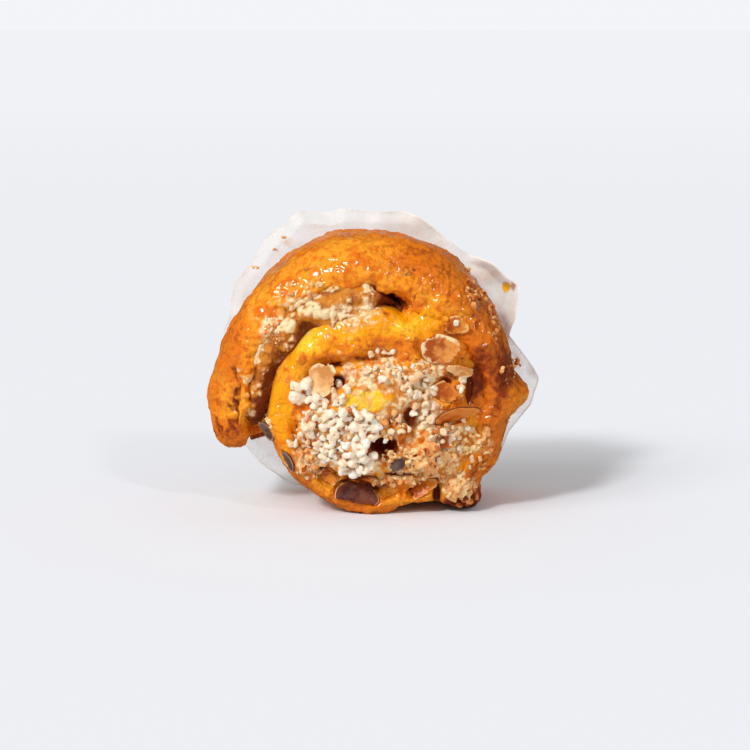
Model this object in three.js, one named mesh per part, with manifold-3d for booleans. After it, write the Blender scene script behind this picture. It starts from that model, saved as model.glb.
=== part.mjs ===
// A saffron bun that stands on its edge. A strip of saffron dough is rolled up round an almond filling.
// Pearl sugar, baked crumbs and flaked almonds lie on its face, and the baking paper that it was baked
// on still sticks to its base.
// Millimetres, +Z up. The face looks along -Y. The origin is on the table, under the middle of the roll.

import * as THREE from "three";
import { mergeVertices } from "three/addons/utils/BufferGeometryUtils.js";
import Module from "manifold-3d";

const wasm = await Module();
wasm.setup();

const { clamp, degToRad, lerp, smoothstep } = THREE.MathUtils;
const TURN = 2 * Math.PI;

// The roll, seen from the front. Angles run anticlockwise from +X, and the strip winds outwards.
const ROLL_HEIGHT = 33; // the roll's centre above the table
const CORE_ANGLE = degToRad(-720); // where the strip starts, in the core
const TAIL_ANGLE = degToRad(197); // where the loose outer end hangs down
// Outer edge of the strip at each quarter turn, from the core to past the tail.
const QUARTER_RADII = [
  16.5, 18.5, 22, 25.5,
  34.5, 35, 33.3, 34.6,
  46, 57.6, 52.8, 51,
];
const CORE_BORE = 0.4; // inner edge of the first turn
const CORE_STEP = degToRad(9); // over which the second turn climbs on to the first
// Where the outer edge leaves that smooth curve.
const EDGE_BUMPS = [
  { angle: -66, rise: -4.8, spread: 8 }, // the hollow before the foot
  { angle: -43.5, rise: 7.6, spread: 6.5 }, // the foot that the bun stands on
  { angle: 5.5, rise: 5.5, spread: 4.5 }, // a corner that stuck to the paper
  { angle: 138, rise: -2.4, spread: 16 }, // the flat shoulder above the tail
];
// How far the turns inside the outline wander from a true spiral.
const WANDER = 1.2;
const WANDER_RADIUS = 46;
const LAYER_TIGHT = 1.4; // thickness of the filling between tight turns
const LAYER_LOOSE = 5.2; // and where the outer turn has opened
const LAYER_OPENS = [degToRad(62), degToRad(104)];

// The roll, from front to back.
const BACK_DEPTH = 18.5; // base of the dough behind the middle of the roll
const FACE_HEIGHT = 45; // middle of the domed face above the table
const RIM_FRONT = 14; // the face at the rim, in front of the middle of the roll
const DOME = 13; // how much further the middle of the face stands out
const DOME_RADIUS = 50;
// Rounding powers of the section: lower is squarer.
const CROWN_TIGHT = 0.28;
const CROWN_LOOSE = 0.42;
const CROWN_OPENS = [degToRad(-30), degToRad(60)];
const BASE_ROUNDING = 0.24;
const WALL_ROUNDING = 0.62;
const SHOULDER_CROWN = 0.7; // the outside of the outer turn is rounder
const SHOULDER_WALL = 0.85;
const SHOULDER_FROM = [degToRad(-200), degToRad(-130)];
const CORE_LUMP = [4.5, 22, 4.5]; // half sizes of the lump that closes the core
const RELIEF = 0.8; // height of the uneven swellings in the crust

const DOUGH_STEPS = 104;
const DOUGH_SIDES = 16;
const END_ZONE = 0.06; // share of the steps kept for each rounded end
const END_ROUND = 0.03; // share of the strip's length that rounds off an end

const LAYER_STEPS = 64;
const LAYER_SIDES = 8;
// How far the filling's edge lies behind the crowns.
const RECESS_TIGHT = 1.2;
const RECESS_LOOSE = 2.6;
const RECESS_DIPS = [
  { angle: 77, rise: 9, spread: 7 }, // a dark hollow under the outer turn
  { angle: 172, rise: 3, spread: 14 }, // beside the tail
];
const CLEARANCE = 0.3; // between neighbouring pieces

// The baking paper behind the roll.
const PAPER = {
  x: 2,
  z: 45,
  radius: 51,
  thickness: 0.4,
  behind: 19.4, // depth of its inner face behind the middle of the roll
  dish: 0.92, // share of the radius that lies against the base
  segments: 60,
  rings: 8,
  crowding: 1.8, // how much closer the rings are towards the rim
  floor: 0.5, // its lower edge above the table
  pleats: 0.8, // height of the pleats along its edge
};
const PAPER_CORNERS = [
  { angle: 121, rise: 5.4, spread: 9 },
  { angle: 145, rise: 3, spread: 14 },
  { angle: 54, rise: -3.6, spread: 11 },
  { angle: 30, rise: 5, spread: 7 },
  { angle: 13, rise: -5, spread: 6 },
  { angle: -10, rise: 5, spread: 9 },
  { angle: -42, rise: 5, spread: 7 },
  { angle: -146, rise: 4, spread: 24 },
];
// Where its edge leaves the plane of the base: forwards beside the roll, backwards elsewhere.
const PAPER_CURLS = [
  { angle: 15, rise: -8, spread: 9 },
  { angle: 33, rise: -5, spread: 8 },
  { angle: 118, rise: 3, spread: 16 },
  { angle: -45, rise: 3, spread: 16 },
  { angle: -140, rise: 3, spread: 25 },
];

// Toppings on the face, as places across and up.
const SUGAR_PATCHES = [
  { x: -18.5, z: 41, across: 6.5, up: 3.6, grains: 6 },
  { x: -14.5, z: 32.5, across: 8.5, up: 7, grains: 18 },
  { x: -2.5, z: 30, across: 6, up: 5, grains: 11 },
  { x: -4, z: 20.5, across: 6, up: 7, grains: 13 },
  { x: -13.5, z: 21.5, across: 5, up: 5.5, grains: 8 },
  { x: 17.5, z: 38.5, across: 5, up: 6.5, grains: 7 },
  { x: 27, z: 28.6, across: 4.5, up: 4, grains: 4 },
  { x: 4, z: 53.5, across: 5, up: 1.8, grains: 3 },
];
const SUGAR_SIZE = [0.95, 1.55]; // half the length of a grain
const SUGAR_SPACING = 1.75;
const CRUMBS = [
  { x: 18.5, z: 21, size: 5.4 },
  { x: 12.5, z: 19, size: 3.8 },
  { x: 6.5, z: 21.5, size: 3 },
  { x: 26, z: 17, size: 4 },
  { x: 32.7, z: 24.5, size: 3.8 },
  { x: 30, z: 8, size: 4.6 },
  { x: 25.5, z: 9.5, size: 3 },
  { x: -20, z: 19.5, size: 4.2 },
  { x: -15.5, z: 14.8, size: 3 },
  { x: 4, z: 47, size: 3.6 },
  { x: 11, z: 46.5, size: 4.2 },
  { x: 16, z: 42, size: 3.8 },
  { x: 12.6, z: 35.4, size: 4 },
];

// Flaked almonds: spin turns the flake in the face, lean tips it about its length.
const FLAKES = {
  almond_flake_upper_right: { x: 22.4, z: 55.5, length: 13.5, width: 9.5, spin: -18, lean: 8 },
  almond_flake_under: { x: 28.6, z: 48.2, length: 8.5, width: 4.2, spin: -8, lean: 20 },
  almond_flake_right: { x: 28, z: 34.4, length: 15.5, width: 8, spin: 16, lean: 52 },
  almond_flake_upper_left: { x: -15, z: 46, length: 11.5, width: 9.5, spin: 65, lean: -24 },
  almond_flake_foot: { x: -4.2, z: 7, length: 13.5, width: 7.6, spin: -12, lean: -34 },
  almond_flake_crest: { x: 27.8, z: 63, length: 8.2, width: 6, spin: -14, lean: 14 },
  almond_flake_lower_right: { x: 17.8, z: 8.6, length: 10.5, width: 6.4, spin: 24, lean: -36 },
  almond_flake_lower_left: { x: -13.2, z: 12.4, length: 7, width: 4.4, spin: -40, lean: -20 },
  almond_flake_amber: { x: 25.2, z: 42, length: 9.6, width: 6.2, spin: -12, lean: 12 },
  almond_flake_chip: { x: 24.8, z: 25.4, length: 5.6, width: 5, spin: 20, lean: 10 },
  almond_flake_shard: { x: 10.6, z: 28.4, length: 8, width: 5, spin: 78, lean: 46 },
  almond_flake_dark: { x: 9.1, z: 17.6, length: 6.4, width: 4.6, spin: 24, lean: 16 },
  almond_flake_gap: { x: -33.4, z: 27, length: 8, width: 4.8, spin: -58, lean: 50 },
  almond_flake_left: { x: -26.2, z: 18.4, length: 8, width: 3.8, spin: -66, lean: 56 },
};
const FLAKE_THICKNESS = 0.9;
const FLAKE_SINK = 0.25; // how far a flake is pressed into what it lies on

const COLOURS = {
  dough: { color: 0xe08a1c, roughness: 0.45 },
  filling: { color: 0xd9a868, roughness: 0.85 },
  almond: { color: 0xc98a4a, roughness: 0.6 },
  paper: { color: 0xeae6e2, roughness: 0.6 },
};

// A repeatable draw from 0 to 1.
function seededDraw(seed) {
  let state = seed;
  return () => {
    state = (state * 1664525 + 1013904223) % 4294967296;
    return state / 4294967296;
  };
}

// Shape functions of the roll

function signedPower(value, power) {
  return Math.sign(value) * Math.abs(value) ** power;
}

// Rounded bumps along an angle that runs on, as a winding angle does.
function sumOfBumps(bumps, angle) {
  const heights = bumps.map(({ angle: at, rise, spread }) => {
    return rise * Math.exp(-0.5 * ((angle - degToRad(at)) / degToRad(spread)) ** 2);
  });
  return heights.reduce((sum, height) => sum + height, 0);
}

// Outer edge of the strip at a winding angle: a smooth curve through the quarter turns, and the bumps.
function outerEdge(angle) {
  const place = clamp((angle - CORE_ANGLE) / (TURN / 4), 0, QUARTER_RADII.length - 1.001);
  const index = Math.floor(place);
  const part = place - index;
  const [before, from, to, after] = [-1, 0, 1, 2].map(
    (step) => QUARTER_RADII[clamp(index + step, 0, QUARTER_RADII.length - 1)],
  );
  const leave = (to - before) / 2;
  const arrive = (after - from) / 2;
  const smooth =
    from +
    part * leave +
    part ** 2 * (3 * (to - from) - 2 * leave - arrive) +
    part ** 3 * (leave + arrive - 2 * (to - from));
  return smooth + sumOfBumps(EDGE_BUMPS, angle);
}

function layerThickness(angle) {
  return lerp(LAYER_TIGHT, LAYER_LOOSE, smoothstep(angle, ...LAYER_OPENS));
}

function innerEdge(angle) {
  const wound = smoothstep(angle, CORE_ANGLE + TURN - CORE_STEP, CORE_ANGLE + TURN);
  return lerp(CORE_BORE, outerEdge(angle - TURN) + layerThickness(angle), wound);
}

// How far the domed face stands in front of the middle of the roll.
function frontDepth(x, z) {
  return RIM_FRONT + DOME * (1 - Math.min(1, Math.hypot(x, z - FACE_HEIGHT) / DOME_RADIUS) ** 2);
}

// Sideways shift of a place on the face, which fades out at the outline.
function wander(x, z) {
  const calm = WANDER * Math.max(0, 1 - (Math.hypot(x, z - FACE_HEIGHT) / WANDER_RADIUS) ** 2);
  const across = Math.sin(0.16 * z + 0.6) + 0.5 * Math.sin(0.33 * z + 2);
  const up = Math.sin(0.15 * x + 1.1) + 0.5 * Math.sin(0.31 * x + 0.4);
  return [calm * across, calm * up];
}

// Uneven swellings of the crust, from three crossing waves.
function swelling(x, z) {
  const rising = Math.sin(0.29 * x + 0.17 * z);
  const falling = Math.sin(0.21 * z - 0.33 * x + 1.3);
  const steep = Math.sin(0.47 * z + 0.11 * x + 2.1);
  return (RELIEF * (rising + falling + steep)) / 3;
}

// Runs slowly through the two ends of the strip and evenly between them.
function alongStrip(share) {
  const eased = (distance) => (distance < END_ZONE ? distance ** 2 / (2 * END_ZONE) : distance - END_ZONE / 2);
  const whole = 2 * eased(0.5);
  return share < 0.5 ? eased(share) / whole : 1 - eased(1 - share) / whole;
}

// The section's size near an end, as a share: it rounds off to a point.
function endRounding(along) {
  const reach = Math.min(along, 1 - along) / END_ROUND;
  return reach >= 1 ? 1 : Math.sqrt(1 - (1 - reach) ** 2);
}

function onRoll(angle, radius, y) {
  const [x, z] = onFace(angle, radius);
  return [x, y, z];
}

// A place on the face, across and up, from a place on the roll.
function onFace(angle, radius) {
  const [x, z] = [radius * Math.cos(angle), ROLL_HEIGHT + radius * Math.sin(angle)];
  const [across, up] = wander(x, z);
  return [x + across, z + up];
}

// A point of the dough: along the strip from core to tail, and round its section.
function doughPoint(share, round) {
  const along = alongStrip(share);
  const angle = lerp(CORE_ANGLE, TAIL_ANGLE, along);
  const size = endRounding(along);
  const outer = outerEdge(angle);
  const inner = innerEdge(angle);
  const across = Math.cos(round);
  const towardsFace = Math.sin(round);
  const shoulder = across > 0 ? smoothstep(angle, ...SHOULDER_FROM) : 0;
  const wall = lerp(WALL_ROUNDING, SHOULDER_WALL, shoulder);
  const radius = (outer + inner) / 2 + ((outer - inner) / 2) * size * signedPower(across, wall);
  if (towardsFace < 0) return onRoll(angle, radius, BACK_DEPTH * size * (-towardsFace) ** BASE_ROUNDING);
  const inside = lerp(CROWN_TIGHT, CROWN_LOOSE, smoothstep(angle, ...CROWN_OPENS));
  const crown = lerp(inside, SHOULDER_CROWN, shoulder);
  const [x, z] = onFace(angle, radius);
  const front = frontDepth(x, z) * towardsFace ** crown + swelling(x, z) * towardsFace ** 2;
  return onRoll(angle, radius, -front * size);
}

// A point of the filling, which follows the strip one turn out from the core. The room makes it fuller.
function fillingPoint(share, round, room = 0) {
  const along = alongStrip(share);
  const angle = lerp(CORE_ANGLE + TURN, TAIL_ANGLE - degToRad(7), along);
  const size = endRounding(along);
  const inner = outerEdge(angle - TURN) + CLEARANCE - room;
  const outer = innerEdge(angle) - CLEARANCE + room;
  const across = Math.cos(round);
  const towardsFace = Math.sin(round);
  const radius = (outer + inner) / 2 + ((outer - inner) / 2) * signedPower(across, WALL_ROUNDING) * size;
  const opened = smoothstep(angle, ...LAYER_OPENS);
  const recess = lerp(RECESS_TIGHT, RECESS_LOOSE, opened) + sumOfBumps(RECESS_DIPS, angle);
  const front = frontDepth(...onFace(angle, radius)) - recess + swelling(9 * angle, 14);
  const depth = towardsFace > 0 ? -front - room : BACK_DEPTH - 1.5 + room;
  return onRoll(angle, radius, depth * size * Math.abs(towardsFace) ** CROWN_LOOSE);
}

// Solids and meshes

// A closed geometry with shared vertices, nothing but positions, and no triangle without an area.
function closed(geometry) {
  geometry.deleteAttribute("normal");
  geometry.deleteAttribute("uv");
  const merged = mergeVertices(geometry, 1e-4);
  const kept = [];
  for (let i = 0; i < merged.index.count; i += 3) {
    const corners = [0, 1, 2].map((step) => merged.index.getX(i + step));
    if (new Set(corners).size === 3) kept.push(...corners);
  }
  merged.setIndex(kept);
  return merged;
}

// A sphere's grid of vertices moved to place(share from pole to pole, angle round).
function wrappedSphere(sides, steps, place) {
  const geometry = new THREE.SphereGeometry(1, sides, steps);
  const position = geometry.getAttribute("position");
  for (let i = 0; i < position.count; i++) {
    const side = (i % (sides + 1)) % sides;
    const step = Math.floor(i / (sides + 1));
    position.setXYZ(i, ...place(step / steps, (TURN * side) / sides));
  }
  return closed(geometry);
}

function solidOf(geometry) {
  const triVerts = new Uint32Array(geometry.index.array);
  const vertProperties = new Float32Array(geometry.getAttribute("position").array);
  const solid = new wasm.Manifold(new wasm.Mesh({ numProp: 3, vertProperties, triVerts }));
  if (solid.volume() > 0) return solid;
  triVerts.reverse();
  return new wasm.Manifold(new wasm.Mesh({ numProp: 3, vertProperties, triVerts }));
}

function geometryOf(solid) {
  const { numProp, vertProperties, triVerts } = solid.getMesh();
  const count = vertProperties.length / numProp;
  const points = new Float32Array(3 * count);
  for (let i = 0; i < count; i++) points.set(vertProperties.subarray(i * numProp, i * numProp + 3), 3 * i);
  const geometry = new THREE.BufferGeometry();
  geometry.setAttribute("position", new THREE.BufferAttribute(points, 3));
  geometry.setIndex(new THREE.BufferAttribute(new Uint32Array(triVerts), 1));
  geometry.computeVertexNormals();
  return geometry;
}

// The largest body of a solid, without the scraps that a cut leaves.
function largestBody(solid) {
  return solid.decompose().reduce((best, body) => (body.volume() > best.volume() ? body : best));
}

function meshOf(name, geometry, finish) {
  const mesh = new THREE.Mesh(geometry, new THREE.MeshStandardMaterial({ metalness: 0, ...finish }));
  mesh.name = name;
  return mesh;
}

// The squeezed start of the strip, which closes the core.
function coreLump() {
  const lumpOf = new THREE.SphereGeometry(1, 12, 10).scale(...CORE_LUMP);
  return closed(lumpOf.translate(0, -3, ROLL_HEIGHT));
}

// The table's plane as a block that cuts the bun's resting spots flat.
function tableBlock() {
  const [wide, thick] = [200, 20];
  return closed(new THREE.BoxGeometry(wide, wide, thick).translate(0, 0, -thick / 2));
}

// Finds the face of the bare roll by looking along +Y.
function faceFinder(geometry) {
  const target = new THREE.Mesh(geometry, new THREE.MeshBasicMaterial({ side: THREE.DoubleSide }));
  const eye = new THREE.Raycaster();
  const along = new THREE.Vector3(0, 1, 0);
  return (x, z) => {
    eye.set(new THREE.Vector3(x, -200, z), along);
    const [hit] = eye.intersectObject(target);
    return hit ? hit.point.y : Infinity;
  };
}

// Toppings

// An almond flake as a slice through the nut: round at one end and pointed at the other.
function flakeGeometry(length, width, thickness) {
  const [half, side] = [length / 2, width / 2];
  const outline = new THREE.Shape();
  outline.moveTo(half, 0);
  outline.bezierCurveTo(half * 0.55, side * 0.95, -half * 0.1, side * 1.15, -half * 0.55, side * 0.86);
  outline.bezierCurveTo(-half * 1.15, side * 0.5, -half * 1.15, -side * 0.5, -half * 0.55, -side * 0.86);
  outline.bezierCurveTo(-half * 0.1, -side * 1.15, half * 0.55, -side * 0.95, half, 0);
  const settings = { depth: thickness, bevelEnabled: false, curveSegments: 5 };
  const geometry = new THREE.ExtrudeGeometry(outline, settings);
  return closed(geometry.translate(0, 0, -thickness / 2));
}

// Where a flake lies: on the foremost point of the face under it, turned by its spin and lean.
function flakePlace({ x, z, length, width, spin, lean }, faceAt) {
  const turn = new THREE.Euler(degToRad(90), 0, 0);
  const quaternion = new THREE.Quaternion().setFromEuler(turn);
  const inFace = new THREE.Euler(degToRad(lean), 0, degToRad(spin), "ZXY");
  quaternion.multiply(new THREE.Quaternion().setFromEuler(inFace));
  const depths = [];
  for (const [along, across] of [[0, 0], [0.3, 0], [-0.3, 0], [0, 0.3], [0, -0.3]]) {
    const spot = new THREE.Vector3(along * length, across * width, 0).applyQuaternion(quaternion);
    depths.push(faceAt(x + spot.x, z + spot.z) - spot.y);
  }
  const y = Math.min(...depths) - FLAKE_THICKNESS / 2 + FLAKE_SINK;
  return { position: new THREE.Vector3(x, y, z), quaternion };
}

// Flakes and their places, with the cutter that makes room for each.
function makeFlakes(faceAt) {
  return Object.entries(FLAKES).map(([name, flake]) => {
    const { position, quaternion } = flakePlace(flake, faceAt);
    const mesh = meshOf(name, flakeGeometry(flake.length, flake.width, FLAKE_THICKNESS), COLOURS.almond);
    mesh.position.copy(position);
    mesh.quaternion.copy(quaternion);
    mesh.updateMatrix();
    const room = 2 * CLEARANCE;
    const loose = flakeGeometry(flake.length + room, flake.width + room, FLAKE_THICKNESS + room);
    return { ...flake, mesh, cutter: solidOf(loose.applyMatrix4(mesh.matrix)) };
  });
}

// How far a place on the face is from the nearest line of filling.
function distanceToFilling(x, z) {
  const [across, up] = wander(x, z);
  const [right, above] = [x - across, z - up - ROLL_HEIGHT];
  const radius = Math.hypot(right, above);
  const direction = Math.atan2(above, right);
  let nearest = Infinity;
  for (let angle = direction - 3 * TURN; angle < TAIL_ANGLE; angle += TURN) {
    if (angle < CORE_ANGLE + TURN) continue;
    const middle = (outerEdge(angle - TURN) + innerEdge(angle)) / 2;
    nearest = Math.min(nearest, Math.abs(radius - middle) - layerThickness(angle) / 2);
  }
  return nearest;
}

function underFlake(flakes, x, z, margin) {
  return flakes.some((flake) => Math.hypot(x - flake.x, z - flake.z) < flake.length / 2 + margin);
}

// A small rounded lump of many flat sides, squashed and turned by the draws.
function lump(detail, size, draw) {
  const geometry = closed(new THREE.IcosahedronGeometry(1, detail));
  const stretch = [0, 1, 2].map(() => size * lerp(0.75, 1.1, draw()));
  geometry.scale(...stretch);
  const turn = new THREE.Euler(TURN * draw(), TURN * draw(), TURN * draw());
  return geometry.applyMatrix4(new THREE.Matrix4().makeRotationFromEuler(turn));
}

// Pearl sugar, spread over its patches and clear of the flakes and of the filling.
function sugarSolids(faceAt, flakes) {
  const draw = seededDraw(7);
  const placed = [];
  const solids = [];
  for (const patch of SUGAR_PATCHES) {
    let left = patch.grains;
    for (let attempt = 0; attempt < 40 * patch.grains && left > 0; attempt++) {
      const reach = Math.sqrt(draw());
      const direction = TURN * draw();
      const x = patch.x + patch.across * reach * Math.cos(direction);
      const z = patch.z + patch.up * reach * Math.sin(direction);
      const size = lerp(...SUGAR_SIZE, draw());
      const crowded = placed.some((spot) => Math.hypot(x - spot.x, z - spot.z) < SUGAR_SPACING);
      if (crowded || underFlake(flakes, x, z, size + CLEARANCE)) continue;
      if (distanceToFilling(x, z) < size + CLEARANCE || faceAt(x, z) === Infinity) continue;
      placed.push({ x, z });
      left -= 1;
      solids.push(solidOf(lump(0, size, draw).translate(x, faceAt(x, z) - size * 0.35, z)));
    }
  }
  return solids;
}

// Baked crumbs of filling, on the foremost of the face within their size.
function crumbSolids(faceAt) {
  const draw = seededDraw(19);
  return CRUMBS.map(({ x, z, size }) => {
    const depths = [[0, 0], [1, 0], [-1, 0], [0, 1], [0, -1]].map(([right, up]) => {
      return faceAt(x + 0.6 * size * right, z + 0.6 * size * up);
    });
    return solidOf(lump(1, size, draw).translate(x, Math.min(...depths) + size * 0.45, z));
  });
}

// The baking paper

// Its rim runs in and out, and its lower edge stays above the table.
function paperRim(direction) {
  const free = PAPER.radius + sumOfBumps(PAPER_CORNERS, direction);
  const down = -Math.sin(direction);
  return down > 0 ? Math.min(free, (PAPER.z - PAPER.floor) / down) : free;
}

// A point of its inner face, or of its outer face when behind is the thickness.
function paperPoint(share, direction, behind) {
  const radius = share * paperRim(direction);
  const edge = smoothstep(share, PAPER.dish, 1);
  const pleats = PAPER.pleats * (1 + 0.6 * Math.sin(14 * direction) + 0.4 * Math.sin(23 * direction + 1));
  const y = PAPER.behind + behind + edge * (pleats + sumOfBumps(PAPER_CURLS, direction));
  return [PAPER.x + radius * Math.cos(direction), y, PAPER.z + radius * Math.sin(direction)];
}

// A thin sheet, turned from a flat profile and then waved, so that both faces have like triangles.
function paperGeometry() {
  const outwards = Array.from({ length: PAPER.rings }, (_, ring) => ring / (PAPER.rings - 1));
  const face = outwards.map((share) => 1 - (1 - share) ** PAPER.crowding);
  const profile = [
    ...face.map((share) => new THREE.Vector2(share, 0)),
    ...face.toReversed().map((share) => new THREE.Vector2(share, 1)),
  ];
  const geometry = new THREE.LatheGeometry(profile, PAPER.segments);
  const position = geometry.getAttribute("position");
  for (let i = 0; i < position.count; i++) {
    const [across, side, up] = [position.getX(i), position.getY(i), position.getZ(i)];
    const direction = Math.atan2(up, across);
    position.setXYZ(i, ...paperPoint(Math.hypot(across, up), direction, side * PAPER.thickness));
  }
  return closed(geometry);
}

// The bun

const doughStrip = wrappedSphere(DOUGH_SIDES, DOUGH_STEPS, doughPoint);
const faceAt = faceFinder(doughStrip);
const flakes = makeFlakes(faceAt);
const filling = solidOf(wrappedSphere(LAYER_SIDES, LAYER_STEPS, fillingPoint));
const fuller = (share, round) => fillingPoint(share, round, CLEARANCE * 0.4);
const fillingRoom = solidOf(wrappedSphere(LAYER_SIDES, LAYER_STEPS, fuller));
const flakeRoom = wasm.Manifold.union(flakes.map(({ cutter }) => cutter));

const toppings = [...crumbSolids(faceAt), ...sugarSolids(faceAt, flakes)];
const roll = wasm.Manifold.union([solidOf(doughStrip), solidOf(coreLump()), ...toppings])
  .subtract(solidOf(tableBlock()))
  .subtract(fillingRoom)
  .subtract(flakeRoom);

const bun = new THREE.Group();
bun.add(meshOf("dough_roll", geometryOf(largestBody(roll)), COLOURS.dough));
bun.add(meshOf("almond_filling", geometryOf(largestBody(filling.subtract(flakeRoom))), COLOURS.filling));
bun.add(meshOf("baking_paper", geometryOf(solidOf(paperGeometry())), COLOURS.paper));
flakes.forEach(({ mesh }) => bun.add(mesh));

export default bun;
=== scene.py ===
"""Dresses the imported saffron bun: rolled dough, filling, pearl sugar, crumbs, almond flakes and paper."""

import itertools
import logging
import math
from collections.abc import Iterable, Mapping, Sequence
from dataclasses import dataclass, field
from enum import Enum

import bmesh
import bpy
import numpy as np
from mathutils import Euler, Matrix, Vector
from mathutils.bvhtree import BVHTree
from mathutils.kdtree import KDTree


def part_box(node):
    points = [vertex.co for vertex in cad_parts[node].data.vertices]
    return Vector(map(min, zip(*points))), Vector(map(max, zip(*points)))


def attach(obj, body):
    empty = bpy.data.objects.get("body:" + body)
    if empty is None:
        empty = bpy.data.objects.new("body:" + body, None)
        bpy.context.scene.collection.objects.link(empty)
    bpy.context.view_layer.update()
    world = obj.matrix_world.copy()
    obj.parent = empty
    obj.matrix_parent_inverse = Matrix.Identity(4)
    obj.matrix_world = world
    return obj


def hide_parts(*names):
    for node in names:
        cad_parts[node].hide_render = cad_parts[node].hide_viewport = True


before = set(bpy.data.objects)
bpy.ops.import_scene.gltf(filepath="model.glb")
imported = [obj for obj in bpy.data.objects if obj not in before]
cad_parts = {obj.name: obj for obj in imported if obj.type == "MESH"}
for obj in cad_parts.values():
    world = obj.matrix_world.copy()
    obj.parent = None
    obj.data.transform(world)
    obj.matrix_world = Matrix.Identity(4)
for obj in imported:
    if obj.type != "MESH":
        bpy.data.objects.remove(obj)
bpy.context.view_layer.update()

log = logging.getLogger("saffron_bun")

MM = 0.001
TURN = 2 * math.pi
BODY = "root"
Colour = tuple[float, float, float, float]
Band = tuple[float, float]


def srgb(red: float, green: float, blue: float) -> Colour:
    """A linear colour from display values of 0 to 255."""
    channels = [c / 255 for c in (red, green, blue)]
    linear = [c / 12.92 if c <= 0.04045 else ((c + 0.055) / 1.055) ** 2.4 for c in channels]
    return (*linear, 1.0)


def smooth_step(value: np.ndarray, low: float, high: float) -> np.ndarray:
    """Rises smoothly from 0 at low to 1 at high."""
    share = np.clip((value - low) / (high - low), 0.0, 1.0)
    return share * share * (3 - 2 * share)


def blend(first: float, second: np.ndarray | float, share: np.ndarray) -> np.ndarray:
    """From the first value at 0 to the second at 1."""
    return first + (second - first) * share


def signed_power(value: np.ndarray, power: float) -> np.ndarray:
    """A power that keeps the value's sign."""
    return np.sign(value) * np.abs(value) ** power


def in_radians(start: float, end: float) -> Band:
    """A band of angles, from degrees."""
    return math.radians(start), math.radians(end)


class Noise:
    """Smooth lattice noise from -1 to 1, repeatable by its seed."""

    PRIMES = (73856093, 19349663, 83492791)
    ENTRIES = 4096
    LAYER_STEP = 17.3

    def __init__(self, seed: int) -> None:
        """Draws the lattice's values.

        Args:
            seed: picks the values.
        """
        self.table = np.random.default_rng(seed).uniform(-1.0, 1.0, self.ENTRIES)

    def at(self, points: np.ndarray, size: float) -> np.ndarray:
        """One layer of noise.

        Args:
            points: places in millimetres, one per row.
            size: spacing of the lattice in millimetres.

        Returns:
            One value per place.
        """
        grid = points / size
        cell = np.floor(grid).astype(np.int64)
        part = grid - cell
        ease = part * part * part * (part * (part * 6 - 15) + 10)
        total = np.zeros(len(points))
        for corner in itertools.product((0, 1), repeat=3):
            mixed = np.bitwise_xor.reduce((cell + np.array(corner)) * np.array(self.PRIMES), axis=1)
            weight = np.prod(np.where(np.array(corner, bool), ease, 1 - ease), axis=1)
            total += self.table[mixed % self.ENTRIES] * weight
        return total

    def layered(self, points: np.ndarray, size: float, layers: int) -> np.ndarray:
        """Several layers of noise, each half as wide and half as strong as the one before."""
        steps = range(layers)
        return sum(self.at(points + self.LAYER_STEP * step, size / 2**step) / 2**step for step in steps)


@dataclass(frozen=True)
class Ripple:
    """Noise as a height: its strength and size in millimetres, its place in the noise and its layers."""

    strength: float
    size: float
    shift: float = 0.0
    layers: int = 1

    def at(self, noise: Noise, points: np.ndarray) -> np.ndarray:
        """The height at each place."""
        return self.strength * noise.layered(points + self.shift, self.size, self.layers)


@dataclass(frozen=True)
class Wave:
    """A wave by how fast it turns across and up, in radians per millimetre, its start and its strength."""

    across: float
    up: float
    start: float
    strength: float = 1.0

    def at(self, x: np.ndarray, z: np.ndarray | float) -> np.ndarray:
        """The height at each place."""
        return self.strength * np.sin(self.across * x + self.up * z + self.start)


@dataclass(frozen=True)
class Bump:
    """A rounded rise along an angle, in degrees and millimetres."""

    angle: float
    rise: float
    spread: float

    def at(self, angle: np.ndarray) -> np.ndarray:
        """The height at each angle, in radians."""
        away = (angle - math.radians(self.angle)) / math.radians(self.spread)
        return self.rise * np.exp(-0.5 * away**2)


def sum_of_bumps(bumps: Iterable[Bump], angle: np.ndarray) -> np.ndarray:
    """The height of all bumps at each angle, in radians."""
    return sum(bump.at(angle) for bump in bumps)


@dataclass(frozen=True)
class Patch:
    """A soft oval on the face, by its middle, its half sizes in millimetres and its strength."""

    x: float
    z: float
    wide: float
    tall: float
    weight: float = 1.0

    FADE = 0.8
    POWER = 1.5

    def at(self, points: np.ndarray) -> np.ndarray:
        """The strength at each place of the face."""
        across = (points[:, 0] - self.x) / self.wide
        up = (points[:, 2] - self.z) / self.tall
        return self.weight * np.exp(-self.FADE * (across**2 + up**2) ** self.POWER)


def patches(*rows: tuple[float, ...]) -> tuple[Patch, ...]:
    """Patches from rows of their middles, half sizes and strengths."""
    return tuple(Patch(*row) for row in rows)


def cover(spots: Iterable[Patch], points: np.ndarray, most: float = 1.0) -> np.ndarray:
    """How much patches cover each place of the face, from 0 to the most."""
    return np.clip(sum(spot.at(points) for spot in spots), 0.0, most)


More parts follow.
